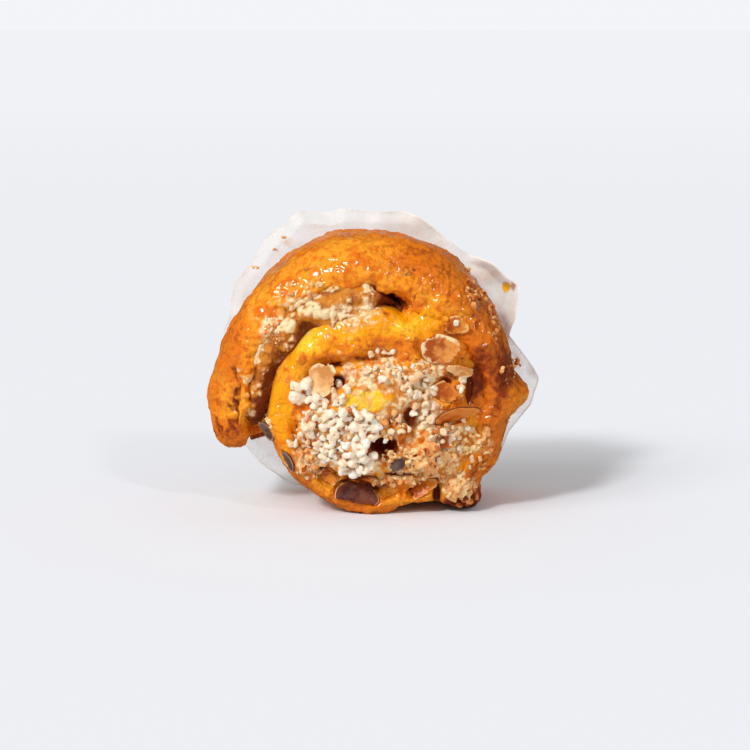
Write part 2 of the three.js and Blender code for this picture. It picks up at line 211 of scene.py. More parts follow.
@dataclass(frozen=True)
class Roll:
    """The rolled strip's shape in millimetres, as in the part's source."""

    height: float = 33.0
    core_angle: float = math.radians(-720)
    tail_angle: float = math.radians(197)
    quarter_radii: tuple[float, ...] = (16.5, 18.5, 22, 25.5, 34.5, 35, 33.3, 34.6, 46, 57.6, 52.8, 51)
    core_bore: float = 0.4
    core_step: float = math.radians(9)
    core_crown: float = 0.02
    edge_bumps: tuple[Bump, ...] = (
        Bump(-66, -4.8, 8),
        Bump(-43.5, 7.6, 6.5),
        Bump(5.5, 5.5, 4.5),
        Bump(138, -2.4, 16),
    )
    wander: float = 1.2
    wander_radius: float = 46.0
    wander_across: tuple[Wave, ...] = (Wave(0, 0.16, 0.6), Wave(0, 0.33, 2, 0.5))
    wander_up: tuple[Wave, ...] = (Wave(0.15, 0, 1.1), Wave(0.31, 0, 0.4, 0.5))
    layer_tight: float = 1.4
    layer_loose: float = 5.2
    layer_opens: Band = in_radians(62, 104)
    back_depth: float = 18.5
    face_height: float = 45.0
    rim_front: float = 14.0
    dome: float = 13.0
    dome_radius: float = 50.0
    crown_tight: float = 0.28
    crown_loose: float = 0.42
    crown_opens: Band = in_radians(-30, 60)
    base_rounding: float = 0.24
    wall_rounding: float = 0.62
    shoulder_crown: float = 0.7
    shoulder_wall: float = 0.85
    shoulder_from: Band = in_radians(-200, -130)
    relief: float = 0.8
    relief_waves: tuple[Wave, ...] = (Wave(0.29, 0.17, 0), Wave(-0.33, 0.21, 1.3), Wave(0.11, 0.47, 2.1))
    end_zone: float = 0.06
    end_round: float = 0.03
    clearance: float = 0.3

    SHORT_OF_END = 0.001

    def outer_edge(self, angle: np.ndarray) -> np.ndarray:
        """Outer edge of the strip at a winding angle: a curve through the quarter turns, and the bumps."""
        radii = np.array(self.quarter_radii)
        last = len(radii) - 1
        place = np.clip((angle - self.core_angle) / (TURN / 4), 0, last - self.SHORT_OF_END)
        index = np.floor(place).astype(int)
        part = place - index
        before, start, end, after = (radii[np.clip(index + step, 0, last)] for step in (-1, 0, 1, 2))
        leave, arrive = (end - before) / 2, (after - start) / 2
        smooth = start + part * leave
        smooth = smooth + part**2 * (3 * (end - start) - 2 * leave - arrive)
        smooth = smooth + part**3 * (leave + arrive - 2 * (end - start))
        return smooth + sum_of_bumps(self.edge_bumps, angle)

    def layer(self, angle: np.ndarray) -> np.ndarray:
        """Thickness of the filling between this turn and the one inside it."""
        return blend(self.layer_tight, self.layer_loose, smooth_step(angle, *self.layer_opens))

    def inner_edge(self, angle: np.ndarray) -> np.ndarray:
        """Inner edge of the strip at a winding angle."""
        first = self.core_angle + TURN
        wound = smooth_step(angle, first - self.core_step, first)
        return blend(self.core_bore, self.outer_edge(angle - TURN) + self.layer(angle), wound)

    def front_depth(self, x: np.ndarray, z: np.ndarray) -> np.ndarray:
        """How far the domed face stands in front of the middle of the roll."""
        reach = np.minimum(1.0, np.hypot(x, z - self.face_height) / self.dome_radius)
        return self.rim_front + self.dome * (1 - reach**2)

    def shift(self, x: np.ndarray, z: np.ndarray) -> tuple[np.ndarray, np.ndarray]:
        """Sideways shift of a place on the face, which fades out at the outline."""
        calm = self.wander * np.maximum(0, 1 - (np.hypot(x, z - self.face_height) / self.wander_radius) ** 2)
        across = sum(wave.at(x, z) for wave in self.wander_across)
        up = sum(wave.at(x, z) for wave in self.wander_up)
        return calm * across, calm * up

    def swelling(self, x: np.ndarray, z: np.ndarray) -> np.ndarray:
        """Uneven swellings of the crust, from crossing waves."""
        return self.relief * sum(wave.at(x, z) for wave in self.relief_waves) / len(self.relief_waves)

    def along(self, share: np.ndarray) -> np.ndarray:
        """Runs slowly through the two ends of the strip and evenly between them."""
        def eased(distance: np.ndarray) -> np.ndarray:
            """Distance from an end, slow within its zone."""
            zone = self.end_zone
            return np.where(distance < zone, distance**2 / (2 * zone), distance - zone / 2)
        whole = 2 * eased(np.array(0.5))
        return np.where(share < 0.5, eased(share) / whole, 1 - eased(1 - share) / whole)

    def end_size(self, along: np.ndarray) -> np.ndarray:
        """The section's size near an end, as a share: it rounds off to a point."""
        reach = np.clip(np.minimum(along, 1 - along) / self.end_round, 0, 1)
        return np.sqrt(1 - (1 - reach) ** 2)

    def rounding(self, angle: np.ndarray, across: np.ndarray) -> tuple[np.ndarray, np.ndarray]:
        """How the strip's section rounds off at a winding angle, as powers for its walls and its crown."""
        shoulder = np.where(across > 0, smooth_step(angle, *self.shoulder_from), 0.0)
        wall = blend(self.wall_rounding, self.shoulder_wall, shoulder)
        crown = blend(self.crown_tight, self.crown_loose, smooth_step(angle, *self.crown_opens))
        crown = blend(crown, self.shoulder_crown, shoulder)
        first_turn = (angle < self.core_angle + TURN - self.core_step) & (across < 0)
        return wall, np.where(first_turn, self.core_crown, crown)

    def on_face(self, angle: np.ndarray, radius: np.ndarray) -> tuple[np.ndarray, np.ndarray]:
        """Places across and up the face, from places on the roll."""
        x, z = radius * np.cos(angle), self.height + radius * np.sin(angle)
        across, up = self.shift(x, z)
        return x + across, z + up

    def place(self, angle: np.ndarray, radius: np.ndarray, depth: np.ndarray) -> np.ndarray:
        """Points in millimetres from places on the roll."""
        x, z = self.on_face(angle, radius)
        return np.stack([x, depth, z], axis=1)


# Mesh helpers


def read_points(mesh: bpy.types.Mesh) -> np.ndarray:
    """A mesh's vertices as rows."""
    flat = np.empty(3 * len(mesh.vertices), np.float32)
    mesh.vertices.foreach_get("co", flat)
    return flat.reshape(-1, 3).astype(np.float64)


def write_points(mesh: bpy.types.Mesh, points: np.ndarray) -> None:
    """Moves a mesh's vertices to places in millimetres."""
    mesh.vertices.foreach_set("co", (points * MM).astype(np.float32).ravel())
    mesh.update()


def read_normals(mesh: bpy.types.Mesh) -> np.ndarray:
    """A mesh's vertex normals as rows."""
    flat = np.empty(3 * len(mesh.vertices), np.float32)
    mesh.vertex_normals.foreach_get("vector", flat)
    return flat.reshape(-1, 3).astype(np.float64)


def write_attribute(mesh: bpy.types.Mesh, name: str, values: np.ndarray) -> None:
    """Keeps one number per vertex for the mesh's material."""
    mesh.attributes.new(name, "FLOAT", "POINT").data.foreach_set("value", values.astype(np.float32))


def ball_mesh(name: str, sides: int, steps: int) -> tuple[bpy.types.Mesh, np.ndarray]:
    """A closed ball that is shaped afterwards.

    Args:
        name: the mesh's name.
        sides: faces round its axis.
        steps: faces from pole to pole.

    Returns:
        The mesh, and its vertices on the unit ball.
    """
    ball = bmesh.new()
    bmesh.ops.create_uvsphere(ball, u_segments=sides, v_segments=steps, radius=1.0)
    mesh = bpy.data.meshes.new(name)
    ball.to_mesh(mesh)
    ball.free()
    return mesh, read_points(mesh)


def strip_places(unit: np.ndarray, crowding: float) -> tuple[np.ndarray, np.ndarray, np.ndarray]:
    """Where the vertices of a ball lie when it is drawn out to a strip, from pole to pole.

    Args:
        unit: vertices on the unit ball.
        crowding: how much closer they lie on the side that shows.

    Returns:
        Each one's share of the strip's length, and its place across the strip and towards the face.
    """
    share = np.arctan2(np.hypot(unit[:, 0], unit[:, 1]), unit[:, 2]) / math.pi
    around = np.arctan2(unit[:, 1], unit[:, 0])
    around = around + crowding * np.cos(around)
    return share, np.cos(around), np.sin(around)


def finished(mesh: bpy.types.Mesh, material: bpy.types.Material, node: str) -> bpy.types.Object:
    """Makes a smooth piece that rides on the bun.

    Args:
        mesh: the piece's mesh, in its place.
        material: its finish.
        node: the node that it stands for.

    Returns:
        The piece.
    """
    mesh.materials.append(material)
    mesh.polygons.foreach_set("use_smooth", np.ones(len(mesh.polygons), bool))
    piece = bpy.data.objects.new(mesh.name, mesh)
    bpy.context.collection.objects.link(piece)
    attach(piece, BODY)
    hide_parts(node)
    log.info("%s: %d faces", piece.name, len(mesh.polygons))
    return piece


class Face:
    """What toppings lie on: it finds the front of the pieces by looking along +Y."""

    AHEAD = -200.0

    def __init__(self, meshes: Sequence[bpy.types.Mesh]) -> None:
        """Keeps the meshes' faces for looking up.

        Args:
            meshes: the meshes that toppings may lie on.
        """
        corners: list[tuple[float, ...]] = []
        faces: list[tuple[int, ...]] = []
        for mesh in meshes:
            start = len(corners)
            corners.extend(map(tuple, read_points(mesh) / MM))
            faces.extend(tuple(start + i for i in polygon.vertices) for polygon in mesh.polygons)
        self.tree = BVHTree.FromPolygons(corners, faces)

    def hit(self, x: float, z: float) -> tuple[Vector, Vector] | None:
        """The foremost point of the face and its normal, or None past its edge."""
        point, normal, _, _ = self.tree.ray_cast(Vector((x, self.AHEAD, z)), Vector((0, 1, 0)))
        return None if point is None else (point, normal)


@dataclass
class Heap:
    """Small lumps that are joined to one mesh."""

    seed: int
    rough: float = 0.16
    mottle: float = 0.14
    # How much the crevices are darkened, as painted shade.
    shade: float = 0.5
    points: list[np.ndarray] = field(default_factory=list)
    middles: list[np.ndarray] = field(default_factory=list)
    tints: list[float] = field(default_factory=list)

    DETAIL = 2
    STRETCH = (0.65, 1.2)
    DENT_SIZE = 0.95
    DENT_SPAN = 90
    GRAINS = (Ripple(1.0, 0.8), Ripple(0.5, 0.4, 9))
    CREVICE = (0.02, 0.3)
    SMOOTHING = 8

    def __post_init__(self) -> None:
        """Makes the lump that is repeated, and the draws."""
        self.draw = np.random.default_rng(self.seed)
        self.noise = Noise(self.seed + 100)
        ball = bmesh.new()
        bmesh.ops.create_icosphere(ball, subdivisions=self.DETAIL, radius=1.0)
        self.unit = np.array([vertex.co[:] for vertex in ball.verts])
        self.faces = np.array([[vertex.index for vertex in face.verts] for face in ball.faces])
        ball.free()

    def add(self, place: Sequence[float], size: float, tint: float) -> None:
        """Adds one uneven lump.

        Args:
            place: its middle in millimetres.
            size: its half size in millimetres.
            tint: its shade, from 0 to 1.
        """
        stretch = size * self.draw.uniform(*self.STRETCH, 3)
        turn = np.array(Euler(self.draw.uniform(0, TURN, 3)).to_matrix())
        dents = self.noise.at(self.unit + self.draw.uniform(0, self.DENT_SPAN, 3), self.DENT_SIZE)
        lump = self.unit * (1 + self.rough * dents)[:, None] * stretch
        self.points.append(lump @ turn.T + np.array(place))
        self.middles.append(np.array(place))
        self.tints.append(tint + self.draw.normal(0, self.mottle))

    def joined(self, name: str) -> bpy.types.Mesh:
        """All lumps as one mesh of loose lumps."""
        count = len(self.unit)
        faces = np.concatenate([self.faces + count * step for step in range(len(self.points))])
        mesh = bpy.data.meshes.new(name)
        mesh.from_pydata(np.concatenate(self.points) * MM, [], faces.tolist())
        write_attribute(mesh, "tint", np.repeat(self.tints, count))
        mesh.update()
        return mesh

    def fused(self, name: str, voxel: float, grain: float, noise: Noise) -> bpy.types.Mesh:
        """All lumps run together into one crumbly skin.

        Args:
            name: the mesh's name.
            voxel: the finest step of the skin in millimetres.
            grain: height of its grain in millimetres.
            noise: shapes the grain.

        Returns:
            The mesh, with each place's tint from the nearest lump, darkened in its crevices as painted shade.
        """
        loose = self.joined(f"{name}_loose")
        holder = bpy.data.objects.new(f"{name}_holder", loose)
        bpy.context.collection.objects.link(holder)
        welder = holder.modifiers.new("weld", "REMESH")
        welder.mode = "VOXEL"
        welder.voxel_size = voxel * MM
        graph = bpy.context.evaluated_depsgraph_get()
        mesh = bpy.data.meshes.new_from_object(holder.evaluated_get(graph), depsgraph=graph)
        bpy.data.objects.remove(holder)
        bpy.data.meshes.remove(loose)
        mesh.name = name
        points = read_points(mesh) / MM
        tree = KDTree(len(self.middles))
        for index, middle in enumerate(self.middles):
            tree.insert(middle, index)
        tree.balance()
        shades = np.array(self.tints)[[tree.find(point)[1] for point in points]]
        rough = sum(layer.at(noise, points) for layer in self.GRAINS)
        moved = points + read_normals(mesh) * (grain * rough)[:, None]
        write_points(mesh, moved)
        # Painted shade, and brown syrup between the lumps: the tint drops where a place lies behind its
        # smoothed surroundings.
        painted_crevice_shade = self.shade * smooth_step(self.crevices(mesh, moved), *self.CREVICE)
        write_attribute(mesh, "tint", shades - painted_crevice_shade)
        return mesh

    def crevices(self, mesh: bpy.types.Mesh, points: np.ndarray) -> np.ndarray:
        """How far each place lies behind its smoothed surroundings, in millimetres."""
        ends = np.empty(2 * len(mesh.edges), np.int32)
        mesh.edges.foreach_get("vertices", ends)
        first, second = ends.reshape(-1, 2).T
        count = np.bincount(ends, minlength=len(points))[:, None]
        smooth = points
        for _ in range(self.SMOOTHING):
            total = np.zeros_like(smooth)
            np.add.at(total, first, smooth[second])
            np.add.at(total, second, smooth[first])
            smooth = total / np.maximum(count, 1)
        return np.sum((smooth - points) * read_normals(mesh), axis=1)


# Shader helpers


class Value:
    """A shader socket that takes part in sums as a number does."""

    def __init__(self, nodes: "Nodes", socket: bpy.types.NodeSocket) -> None:
        """Wraps a socket of a node tree.

        Args:
            nodes: the tree that the socket belongs to.
            socket: an output socket.
        """
        self.nodes = nodes
        self.socket = socket

    def _math(self, operation: str, first: "Value | float", second: "Value | float") -> "Value":
        """A Math node of two numbers."""
        return self.nodes.node("ShaderNodeMath", {"operation": operation}, {0: first, 1: second})

    def __add__(self, other: "Value | float") -> "Value":
        """Sum."""
        return self._math("ADD", self, other)

    def __sub__(self, other: "Value | float") -> "Value":
        """Difference."""
        return self._math("SUBTRACT", self, other)

    def __rsub__(self, other: float) -> "Value":
        """Difference from a number."""
        return self._math("SUBTRACT", other, self)

    def __mul__(self, other: "Value | float") -> "Value":
        """Product."""
        return self._math("MULTIPLY", self, other)

    __radd__ = __add__
    __rmul__ = __mul__

    def swing(self, strength: float) -> "Value":
        """Noise as a swing to both sides of zero, by its strength."""
        return (self - 0.5) * strength

    def rise(self, low: float, high: float) -> "Value":
        """From 0 at low to 1 at high, smoothly."""
        settings = {"interpolation_type": "SMOOTHSTEP"}
        return self.nodes.node("ShaderNodeMapRange", settings, {0: self, 1: low, 2: high, 3: 0.0, 4: 1.0})


class Nodes:
    """A node tree that is built up from values."""

    def __init__(self, tree: bpy.types.NodeTree) -> None:
        """Empties a tree.

        Args:
            tree: the nodes of a material or of the world.
        """
        self.tree = tree
        self.tree.nodes.clear()

    def node(
        self,
        kind: str,
        settings: Mapping[str, object],
        inputs: Mapping[int | str, object],
        output: int | str = 0,
    ) -> Value:
        """Adds any node.

        Args:
            kind: the node's type.
            settings: its properties, or a ramp's stops, which are set first.
            inputs: values or links by the socket's name or number.
            output: the socket that is wanted.

        Returns:
            The output socket.
        """
        made = self.tree.nodes.new(kind)
        for name, setting in settings.items():
            if name == "stops":
                ramp = made.color_ramp.elements
                while len(ramp) < len(setting):
                    ramp.new(0.5)
                for element, (position, colour) in zip(ramp, setting):
                    element.position = position
                    element.color = colour
            else:
                setattr(made, name, setting)
        for name, value in inputs.items():
            if isinstance(value, Value):
                self.tree.links.new(value.socket, made.inputs[name])
            else:
                made.inputs[name].default_value = value
        return Value(self, made.outputs[output])

    def close(self, kind: str, surface: Value) -> None:
        """Links a surface to the tree's output."""
        end = self.tree.nodes.new(kind)
        self.tree.links.new(surface.socket, end.inputs["Surface"])


class Shader(Nodes):
    """A material's node tree."""

    def __init__(self, name: str) -> None:
        """Starts an empty material.

        Args:
            name: the material's name.
        """
        self.material = bpy.data.materials.new(name)
        self.material.use_nodes = True
        super().__init__(self.material.node_tree)
        self.place = self.node("ShaderNodeTexCoord", {}, {}, "Object")

    def noise(self, size: float, detail: float = 3.0, warp: float = 0.0) -> Value:
        """Noise whose features are about size millimetres wide."""
        inputs = {"Vector": self.place, "Scale": 1 / (size * MM), "Detail": detail, "Distortion": warp}
        return self.node("ShaderNodeTexNoise", {}, inputs)

    def facets(self, size: float) -> Value:
        """Cells of about this size in millimetres, each with a shade of its own."""
        inputs = {"Vector": self.place, "Scale": 1 / (size * MM)}
        return self.node("ShaderNodeTexVoronoi", {}, inputs, "Color")

    def attribute(self, name: str) -> Value:
        """One of the mesh's own numbers."""
        return self.node("ShaderNodeAttribute", {"attribute_name": name}, {}, "Fac")

    def mix(self, share: Value, first: "Value | Colour", second: "Value | Colour") -> Value:
        """A blend of two colours."""
        return self.node("ShaderNodeMix", {"data_type": "RGBA"}, {0: share, 6: first, 7: second}, 2)

    def ramp(self, share: Value, stops: Sequence[tuple[float, Colour]]) -> Value:
        """A colour from a row of stops."""
        return self.node("ShaderNodeValToRGB", {"stops": stops}, {0: share})

    def bump(self, height: Value, depth: float, strength: float = 1.0) -> Value:
        """A normal from a height of up to depth millimetres."""
        inputs = {"Height": height, "Distance": depth * MM, "Strength": strength}
        return self.node("ShaderNodeBump", {}, inputs)

    def surface(self, **sockets: object) -> bpy.types.Material:
        """Closes the tree with one surface, whose sockets are named with underscores."""
        names = (name.replace("_", " ").title().replace("Ior", "IOR") for name in sockets)
        inputs = dict(zip(names, sockets.values()))
        self.close("ShaderNodeOutputMaterial", self.node("ShaderNodeBsdfPrincipled", {}, inputs))
        return self.material


# Finishes


@dataclass(frozen=True)
class CrustFinish:
    """Glazed saffron crust: golden, baked brown in places, yellow inside the roll; shade is painted into its
    holes and folds.
    """

    gold: Colour = srgb(250, 168, 36)
    amber: Colour = srgb(224, 112, 10)
    baked: Colour = srgb(224, 118, 14)
    brown: Colour = srgb(146, 50, 4)
    dark: Colour = srgb(80, 28, 6)
    yolk: Colour = srgb(255, 162, 2)
    lemon: Colour = srgb(255, 204, 48)
    cream: Colour = srgb(216, 134, 48)
    milk: Colour = srgb(255, 230, 184)
    syrup: Colour = srgb(118, 38, 3)
    fleck: Colour = srgb(138, 48, 4)

    def material(self) -> bpy.types.Material:
        """The crust's material, which reads the dough's own masks."""
        shader = Shader("saffron_crust")
        masks = ("bake", "yolk", "cream", "syrup", "wet", "pit")
        bake, yolk, cream, syrup, wet, pit = map(shader.attribute, masks)
        broad = shader.noise(9, warp=0.4)
        patchy = shader.noise(4.2, warp=0.8)
        small = shader.noise(1.8, detail=4, warp=0.3)
        fine = shader.noise(0.6)
        pores = shader.noise(0.95, detail=2).rise(0.6, 0.74)
        clouds = broad * 0.35 + patchy * 0.35 + small * 0.3
        colour = shader.mix(clouds.rise(0.43, 0.57), self.amber, self.gold)
        colour = shader.mix((yolk + small.swing(0.9)).rise(0.25, 0.75), colour, self.yolk)
        colour = shader.mix((yolk + patchy.swing(1.2)).rise(0.95, 1.5), colour, self.lemon)
        browning_and_shade_level = bake + broad.swing(0.8) + patchy.swing(1.5) + small.swing(1.0) + fine.swing(0.3)
        colour = shader.mix(browning_and_shade_level.rise(0.1, 0.6), colour, self.baked)
        colour = shader.mix(browning_and_shade_level.rise(0.45, 1.2), colour, self.brown)
        # Where the browning mask passes 1 the crust turns darkest; at the dark hole and under the foot this
        # is painted shade.
        colour = shader.mix((bake + small.swing(0.9)).rise(1.0, 1.6), colour, self.dark)
        # Painted shade: the pit mask darkens the paste and deepens the syrup colour in folds and hollows.
        paste = shader.mix((small * 0.6 + patchy * 0.4 - pit * 0.3).rise(0.41, 0.6), self.cream, self.milk)
        creamy = (cream + small.swing(0.8) + patchy.swing(0.9) + fine.swing(0.2)).rise(0.3, 0.8)
        colour = shader.mix(creamy * 0.92, colour, paste)
        syrup_and_shade_share = (syrup + pit * 0.8 + small.swing(0.8)).rise(0.35, 0.95)
        colour = shader.mix(syrup_and_shade_share, colour, self.syrup)
        flecks = shader.noise(1.3, detail=2).rise(0.64, 0.74)
        colour = shader.mix(flecks * 0.3 + pores * bake * 0.35, colour, self.fleck)
        gloss = (wet + patchy.swing(0.8) + small.swing(0.6)).rise(0.05, 0.6)
        dry = small * 0.3 + fine * 0.12 - pores * 0.12
        large_beads = shader.noise(2.4, detail=1, warp=0.6)
        beads = large_beads * 0.5 + shader.noise(1.2, detail=1, warp=0.8) * 0.32
        beads = beads + shader.noise(0.7, detail=1) * 0.13
        grain = beads + dry * (1 - gloss * 0.8)
        return shader.surface(
            base_color=colour,
            roughness=0.6,
            specular_ior_level=0.16,
            coat_weight=gloss,
            coat_roughness=0.14,
            coat_ior=1.54,
            subsurface_weight=0.22,
            subsurface_radius=(1.0, 0.4, 0.12),
            subsurface_scale=0.003,
            normal=shader.bump(grain, 1.0),
        )


@dataclass(frozen=True)
class FillingFinish:
    """Baked almond paste: pale and crumbly, with pale tops and brown deep places painted as light and shade.
    """

    pale: Colour = srgb(250, 220, 174)
    tan: Colour = srgb(184, 104, 30)
    gold: Colour = srgb(212, 132, 28)
    brown: Colour = srgb(120, 48, 8)

    def material(self) -> bpy.types.Material:
        """The filling's material, which reads how deep it lies in the gap."""
        shader = Shader("almond_paste")
        small = shader.noise(2.2, detail=5)
        crumb = shader.noise(0.9)
        # Painted light and shade: pale on the crumbs' tops, darker in the valleys and brown where the paste
        # lies deep in the gap.
        deep = shader.attribute("pit") + small.swing(0.5)
        grains = shader.attribute("peak") + small.swing(1.0) + crumb.swing(1.2)
        under = shader.mix(shader.noise(4, detail=2).rise(0.42, 0.58), self.tan, self.gold)
        thin = shader.attribute("run")
        colour = shader.mix((grains - deep * 0.3 - thin * 0.3).rise(0.05, 0.8), under, self.pale)
        colour = shader.mix(deep.rise(0.2, 0.8), colour, self.brown)
        return shader.surface(
            base_color=colour,
            roughness=0.2 + small * 0.3,
            specular_ior_level=0.45,
            subsurface_weight=0.45,
            subsurface_radius=(1.0, 0.6, 0.3),
            subsurface_scale=0.002,
            normal=shader.bump(small * 0.5 + crumb * 0.4 + shader.noise(0.45, detail=2) * 0.2, 0.9),
        )


@dataclass(frozen=True)
class LumpFinish:
    """Pearl sugar and baked crumbs: a row of shades, picked by each lump's tint."""

    name: str
    shades: tuple[tuple[float, Colour], ...]
    roughness: float
    grain: float
    glow: float

    def material(self) -> bpy.types.Material:
        """The lumps' material."""
        shader = Shader(self.name)
        small = shader.noise(1.2, detail=4)
        colour = shader.ramp(shader.attribute("tint") + small.swing(0.3), self.shades)
        return shader.surface(
            base_color=colour,
            roughness=self.roughness,
            specular_ior_level=0.3,
            subsurface_weight=self.glow,
            subsurface_radius=(1.0, 0.75, 0.5),
            subsurface_scale=0.002,
            normal=shader.bump(shader.noise(self.grain), 0.4, 0.6),
        )


SUGAR_FINISH = LumpFinish(
    name="pearl_sugar",
    shades=(
        (0.0, srgb(168, 88, 30)),
        (0.3, srgb(222, 168, 112)),
        (0.65, srgb(244, 218, 188)),
        (1.0, srgb(252, 242, 230)),
    ),
    roughness=0.34,
    grain=0.9,
    glow=0.75,
)
CRUMB_FINISH = LumpFinish(
    name="baked_crumb",
    shades=(
        (0.0, srgb(104, 40, 8)),
        (0.2, srgb(184, 92, 26)),
        (0.4, srgb(236, 152, 82)),
        (0.65, srgb(240, 182, 116)),
        (0.95, srgb(248, 216, 160)),
    ),
    roughness=0.45,
    grain=0.45,
    glow=0.3,
)


class FlakeKind(Enum):
    """How a flake shows its cut face, its skin and its syrup."""

    SLICE = "slice"
    PALE = "pale"
    SKIN = "skin"
    AMBER = "amber"
    LENS = "lens"
    EDGE = "edge"


@dataclass(frozen=True)
class AlmondFinish:
    """A toasted almond flake: two shades along its length, a pale border and a thin line of skin."""

    kind: FlakeKind

    SHADES = {
        FlakeKind.SLICE: (srgb(176, 80, 14), srgb(230, 150, 68), srgb(250, 218, 164), srgb(186, 108, 48)),
        FlakeKind.PALE: (srgb(234, 184, 122), srgb(204, 138, 72), srgb(244, 212, 164), srgb(188, 118, 58)),
        FlakeKind.SKIN: (srgb(82, 38, 28), srgb(122, 64, 44), srgb(108, 54, 38), srgb(226, 176, 128)),
        FlakeKind.AMBER: (srgb(184, 84, 14), srgb(228, 138, 46), srgb(242, 184, 106), srgb(140, 62, 16)),
        FlakeKind.LENS: (srgb(196, 92, 20), srgb(224, 128, 44), srgb(230, 146, 62), srgb(116, 48, 12)),
        FlakeKind.EDGE: (srgb(120, 96, 88), srgb(92, 64, 54), srgb(170, 132, 108), srgb(84, 46, 28)),
    }

    def material(self) -> bpy.types.Material:
        """The flake's material, which reads how far each place is along the flake and out to its rim."""
        shader = Shader(f"almond_{self.kind.value}")
        first, second, pale, skin = self.SHADES[self.kind]
        cloud = shader.noise(2.6, detail=4, warp=0.5)
        grain = shader.noise(0.7)
        rim, run = shader.attribute("rim"), shader.attribute("run")
        colour = shader.mix((run + cloud.swing(1.6)).rise(0.2, 0.75), first, second)
        colour = shader.mix((rim + cloud.swing(0.7)).rise(0.72, 0.92), colour, pale)
        colour = shader.mix((rim + grain.swing(0.06)).rise(0.95, 0.985), colour, skin)
        return shader.surface(
            base_color=colour,
            roughness=0.22 + grain * 0.2,
            subsurface_weight=0.25,
            subsurface_radius=(1.0, 0.6, 0.3),
            subsurface_scale=0.002,
            normal=shader.bump(grain * 0.4 + cloud * 0.6, 0.5, 0.7),
        )


@dataclass(frozen=True)
class PaperFinish:
    """Greaseproof baking paper: thin and pale, clearer and browner where it took up fat; light and shade are
    painted on its facets and its right edge.
    """

    pale: Colour = srgb(236, 230, 222)
    stain: Colour = srgb(222, 186, 140)
    stuck: Colour = srgb(234, 194, 138)
    burnt: Colour = srgb(206, 164, 136)
    edge: Colour = srgb(244, 240, 234)
    egg: Colour = srgb(255, 198, 44)

    def material(self) -> bpy.types.Material:
        """The paper's material, which reads its folds, its rim and where it took up fat or egg."""
        shader = Shader("baking_paper")
        touch, soak, egg, fold, rim = map(shader.attribute, ("touch", "soak", "egg", "fold", "rim"))
        broad = shader.noise(14, detail=4, warp=0.5)
        small = shader.noise(3.2, detail=5)
        fibre = shader.noise(0.5)
        # Painted light and shade: each crumpled facet of the paper gets its own lighter or darker tone.
        painted_facet_light = shader.facets(17) * 0.6 + shader.facets(9) * 0.4
        greasy = (touch * 0.8 + soak + broad.swing(1.2) + small.swing(0.5)).rise(0.3, 0.95)
        colour = shader.mix(greasy * 0.75 * (1 - fold * 0.7), self.pale, self.stain)
        stuck = (touch + broad.swing(1.6) + small.swing(0.8)).rise(0.45, 1.1)
        colour = shader.mix(stuck, colour, self.stuck)
        # Stains, and painted shade on the paper's turned right edge.
        burnt = (soak + small.swing(0.8)).rise(0.5, 1.2)
        colour = shader.mix(burnt, colour, self.burnt)
        rim_and_facet_light = rim * 0.8 + painted_facet_light.rise(0.2, 0.8) * 0.24
        colour = shader.mix(rim_and_facet_light, colour, self.edge)
        egged = (egg + small.swing(1.6)).rise(0.5, 0.75)
        colour = shader.mix(egged, colour, self.egg)
        dense = 0.2 + fold * 0.42 + greasy * 0.2 + touch * 0.1 + burnt * 0.25 + rim_and_facet_light * 0.4 + egged * 0.7
        return shader.surface(
            base_color=colour,
            roughness=0.42 - greasy * 0.14,
            alpha=dense + fibre.swing(0.1),
            normal=shader.bump(fibre * 0.3 + small * 0.7, 0.5, 0.6),
        )


@dataclass(frozen=True)
class FloorFinish:
    """A seamless pale table."""

    tone: Colour = (0.826, 0.86, 0.92, 1.0)
    cool: Colour = (0.86, 0.96, 1.0, 1.0)
    cool_spot: tuple[float, float, float] = (-0.036, 0.004, 0.0)
    cool_reach: float = 0.034
    far: Colour = (0.875, 0.908, 0.966, 1.0)
    far_reach: Band = (0.5, 3.5)

    def material(self) -> bpy.types.Material:
        """The table's material, cooler where the bun throws its warm light."""
        shader = Shader("pale_table")
        inputs = {0: shader.place, 1: self.cool_spot}
        away = shader.node("ShaderNodeVectorMath", {"operation": "DISTANCE"}, inputs, "Value")
        colour = shader.mix(1 - away.rise(0.0, self.cool_reach), self.tone, self.cool)
        colour = shader.mix(away.rise(*self.far_reach), colour, self.far)
        return shader.surface(base_color=colour, roughness=0.9, specular_ior_level=0.1)


# Pieces of the bun


@dataclass(frozen=True)
class Fold:
    """A fold in the outer turn that runs along the strip, by angles in degrees and its place across."""

    start: float
    end: float
    across: float
    depth: float
    wide: float

    FADE_IN = 8
    FADE_OUT = 6

    def depth_at(self, angle: np.ndarray, across: np.ndarray) -> np.ndarray:
        """How deep the fold is at each place of the strip."""
        rise = smooth_step(angle, *in_radians(self.start, self.start + self.FADE_IN))
        fall = 1 - smooth_step(angle, *in_radians(self.end - self.FADE_OUT, self.end))
        return self.depth * rise * fall * np.exp(-(((across - self.across) / self.wide) ** 2))


@dataclass(frozen=True)
class Seat:
    """Where a flake lies: its middle, its turn as rows of axes, and its half sizes in millimetres."""

    middle: np.ndarray
    axes: np.ndarray
    length: float
    width: float

    CLEAR = 0.5
    MOST = 3.2
    BORDER = (0.95, 1.3)

    def push(self, points: np.ndarray) -> np.ndarray:
        """How far the flake pushes each place back."""
        long_axis, wide_axis, normal = self.axes
        away = points - self.middle
        ahead = (away[:, 0] * normal[0] + away[:, 2] * normal[2]) / normal[1]
        on_plane = np.stack([away[:, 0], -ahead, away[:, 2]], axis=1)
        reach = np.hypot(on_plane @ long_axis / self.length, on_plane @ wide_axis / self.width)
        over = -points[:, 1] + self.middle[1] - ahead + self.CLEAR
        return np.clip(over, 0, self.MOST) * (1 - smooth_step(reach, *self.BORDER))


